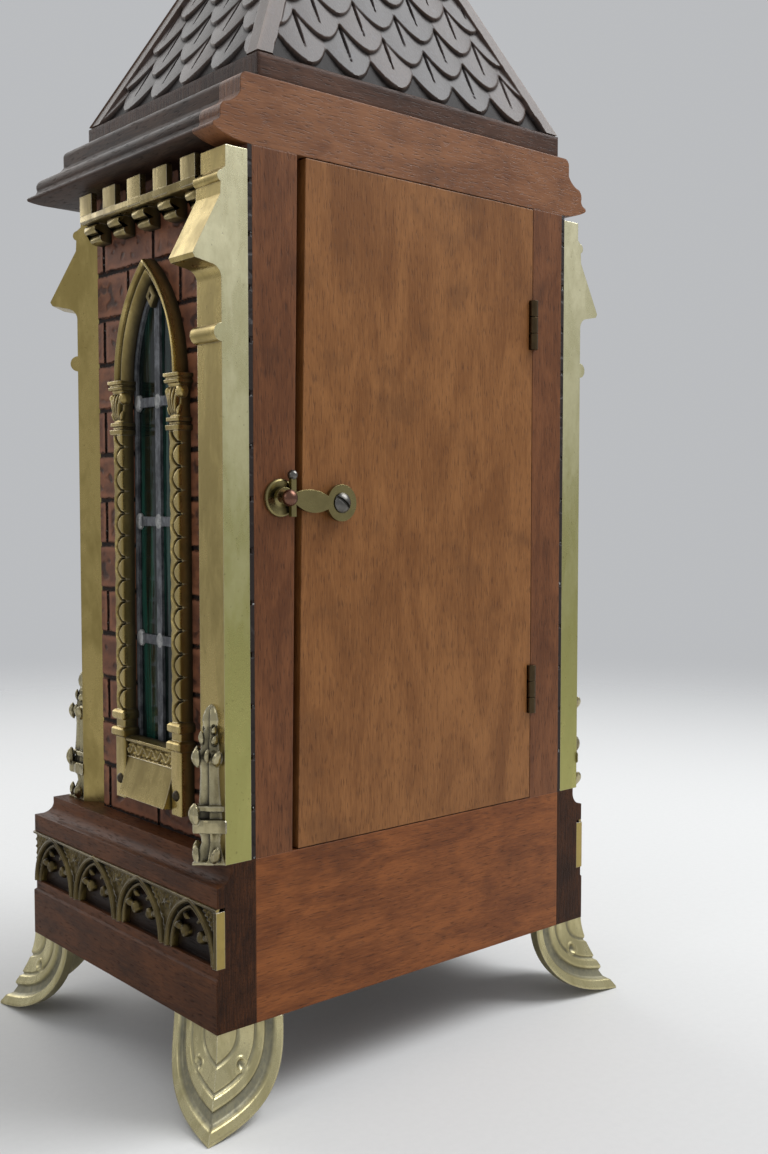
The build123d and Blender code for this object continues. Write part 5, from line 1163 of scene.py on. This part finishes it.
def latch():
    """Dished rosette with a knob on a neck, a slotted screw on its shank, and a ball on the hook."""
    ways = ((0, 1, 0), (1, 0, 0), (0, 0, 1))
    stud_x, stud_z = middle_of("latch_stud", 0), middle_of("latch_stud", 2)
    stud = (stud_x, BACK_Y, stud_z)
    dish = [(0, 6.2), (0.5, 6.4), (1.1, 6.2), (1.4, 5.7), (1.2, 4.8), (0.8, 3.4), (0.9, 2.4), (1.3, 1.9),
            (1.5, 1.5)]
    knob = [(0.6, 1.7), (3.4, 1.5), (3.9, 1.6), (4.1, 2.0), (4.6, 2.5), (5.4, 2.8), (6.2, 2.8), (7.1, 2.4),
            (7.7, 1.7), (8.1, 0.8), (8.2, 0.1)]
    cast("stud_rosette", [turned(stud, *ways, dish, 40)], "latch", "case", ["latch_stud"])
    cast("stud_knob", [turned(stud, *ways, knob, 28)], "copper", "case")

    x, z = middle_of("latch_screw", 0), middle_of("latch_screw", 2)
    low, top = face_of("latch_screw", 0, 1), face_of("latch_screw", 1, 1)
    shank = [(low - top, 1.6), (-5.6, 1.6), (-5.5, 2.8), (-4.0, 2.8), (-3.9, 1.6), (-1.9, 1.6)]
    parts = [screw_head(x, top, z), turned((x, top, z), *ways, shank)]
    cast("slotted_screw", parts, "steel", "back_door", ["latch_screw"])

    radius = 1.75
    turn = np.radians(np.linspace(-88, 88, 13))
    ball = spots(radius * np.sin(turn), radius * np.cos(turn))
    spot = (stud_x - 3.5, middle_of("latch_hook", 1), face_of("latch_hook", 1, 2) - 1.7)
    cast("hook_ball", [turned(spot, *ways, ball)], "steel", "latch_hook")


# Dial
def stroke(angle, radius, lean, shift, length, width):
    """Flat bar painted on the dial: at an angle and a radius, shifted and leaning to one side."""
    u, v = grid((-0.5, 0.5), (-0.5, 0.5))
    across = shift + u * width + v * length * math.tan(lean)
    up = radius + v * length
    x = across * math.cos(angle) + up * math.sin(angle)
    z = up * math.cos(angle) - across * math.sin(angle)
    front = spots(x, np.full_like(x, DIAL_Y - 0.12), DIAL_Z + z)
    return slab(front, front + (0, 0.1, 0))


def thin_circle(radius):
    """A small square section carried round the dial."""
    turn = turns(120)[:, None]
    wide = radius + np.array([[-0.15, 0.15, 0.15, -0.15]])
    lift = DIAL_Y - 0.07 + np.array([[-0.05, -0.05, 0.05, 0.05]])
    return ring_tube(spots(wide * np.sin(turn), lift, DIAL_Z + wide * np.cos(turn)))


def dial_marks():
    """Roman hours from I, V and X strokes, a ring of minutes and two thin circles."""
    numerals = ("XII", "I", "II", "III", "IIII", "V", "VI", "VII", "VIII", "IX", "X", "XI")
    middle = (HOUR_LOW + HOUR_HIGH) / 2
    tall = HOUR_HIGH - HOUR_LOW
    splay, cross = 0.2, 0.36
    apart = 0.1 + tall / 2 * math.tan(splay)
    widths = {"I": 2.2, "V": 4.4, "X": 4.6}
    # Each stroke of a letter: its lean, its shift and its width
    letters = {
        "I": [(0, 0, 1.0)],
        "V": [(-splay, -apart, 1.2), (splay, apart, 0.5)],
        "X": [(-cross, 0, 1.2), (cross, 0, 0.5)],
    }
    parts = []
    for hour, word in enumerate(numerals):
        spot = -sum(widths[letter] for letter in word) / 2
        for letter in word:
            for lean, shift, wide in letters[letter]:
                across = spot + widths[letter] / 2 + shift
                parts.append(stroke(2 * math.pi * hour / 12, middle, lean, across, tall, wide))
            spot += widths[letter]
    for minute in range(60):
        wide = 0.9 if minute % 5 == 0 else 0.35
        parts.append(stroke(2 * math.pi * minute / 60, MINUTE_RADIUS, 0, 0, MINUTE_TALL, wide))
    parts += [thin_circle(MINUTE_RADIUS + off) for off in (-1.3, 1.3)]
    cast("dial_marks", parts, "ink", "case")


roof()
feet()
windows()
pinnacles()
battlements()
friezes()
latch()
dial_marks()

# Finishes of the solids that stay
WEARS = {
    "dark_x": ["cornice_front"],
    "dark_y": ["cornice_right", "cornice_left"],
    "board": ["roof_board"],
    "plinth_y": ["plinth_side_right", "plinth_side_left"],
    "plinth_x": ["plinth_front"],
    "plinth_back": ["plinth_back"],
    "door": ["back_door"],
    "stile": ["back_stile_right", "back_stile_left"],
    "cornice_back": ["cornice_back"],
    "inside": ["case_floor", "case_side_right", "case_side_left", "front_panel"],
    "brick_side": ["brick_facing_right", "brick_facing_left"],
    "brick_front": ["brick_facing_front"],
    "buttress": ["buttresses"],
    "bezel": ["roof_finial", "bezel"],
    "brass": ["front_plate", "back_plate", "spring_barrel", "centre_wheel", "cannon_pinion", "third_wheel",
              "escape_wheel", "minute_wheel", "hour_wheel", "pendulum"],
    "hinge": ["hinge_case_leaves", "hinge_door_leaves", "hinge_pins"],
    "latch": ["latch_hook"],
    "steel": ["winding_arbor", "pallet_anchor"],
    "hand": ["hour_hand", "minute_hand"],
    "glass": ["window_glass"],
    "lead": ["lead_cames"],
    "clear": ["dial_glass"],
    "enamel": ["dial_plate"],
}
for finish, nodes in WEARS.items():
    for node in nodes:
        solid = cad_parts[node]
        solid.data.materials.clear()
        solid.data.materials.append(FINISHES[finish])


# Floor, light and camera, in metres
def floor_finish():
    """Pale paper with a faint tooth, fading into the surroundings away from the clock."""
    finish = Finish("pale_floor", Roughness=0.7)
    tooth = finish.noise(3.0, 3, 0.6)
    finish.put(Base_Color=finish.blend(tooth, (212, 212, 211), (218, 218, 217)))
    away = finish.rise(finish.length(finish.place), 350.0, 1300.0)
    paper = Tap(finish, finish.shader.outputs[0])
    faded = finish.node("MixShader", None, {0: away, 1: paper, 2: finish.node("BsdfTransparent")})
    finish.feed(finish.nodes["Material Output"].inputs["Surface"], faded)
    return finish.material


def stage():
    """A flat square floor under the clock."""
    mesh = bpy.data.meshes.new("floor")
    wide = 1.5
    corners = [(-wide, -wide, 0), (wide, -wide, 0), (wide, wide, 0), (-wide, wide, 0)]
    mesh.from_pydata(corners, [], [(0, 1, 2, 3)])
    mesh.materials.append(floor_finish())
    placed("floor", mesh)


def aimed(way):
    """The turn that points a lamp or a camera along a way."""
    return Vector(way).to_track_quat("-Z", "Y").to_euler()


def soft_lamp(name, spot, power, size, tone):
    """Square soft box aimed at the middle of the clock."""
    lamp = bpy.data.lights.new(name, "AREA")
    lamp.energy = power
    lamp.size = size
    lamp.color = tone
    lit = placed(name, lamp)
    lit.location = spot
    lit.rotation_euler = aimed(Vector((0, 0, 0.25)) - Vector(spot))


def sky():
    """Even pale surroundings."""
    world = bpy.data.worlds.new("studio")
    bpy.context.scene.world = world
    world.use_nodes = True
    back = world.node_tree.nodes["Background"]
    back.inputs["Color"].default_value = (0.95, 0.97, 1.0, 1)
    back.inputs["Strength"].default_value = 0.52


def view_camera():
    """Camera at the picture's stand point: behind the clock, at its right corner."""
    lens = bpy.data.cameras.new("camera")
    lens.sensor_width = 36.0
    lens.lens = 39.152
    camera = placed("camera", lens)
    camera.location = (0.3113, 0.4038, 0.2019)
    camera.rotation_euler = aimed((-0.6541, -0.7543, -0.0559))
    bpy.context.scene.camera = camera


COOL = (0.97, 0.985, 1.0)
WARM = (1.0, 0.99, 0.97)
stage()
sky()
soft_lamp("key", (-0.76, 0.48, 1.28), 19.0, 0.9, COOL)
soft_lamp("front", (0.15, -1.3, 0.9), 9.0, 1.2, WARM)
soft_lamp("fill", (1.25, 0.0, 0.8), 1.5, 0.6, WARM)
view_camera()
bpy.context.scene.view_settings.view_transform = "Standard"
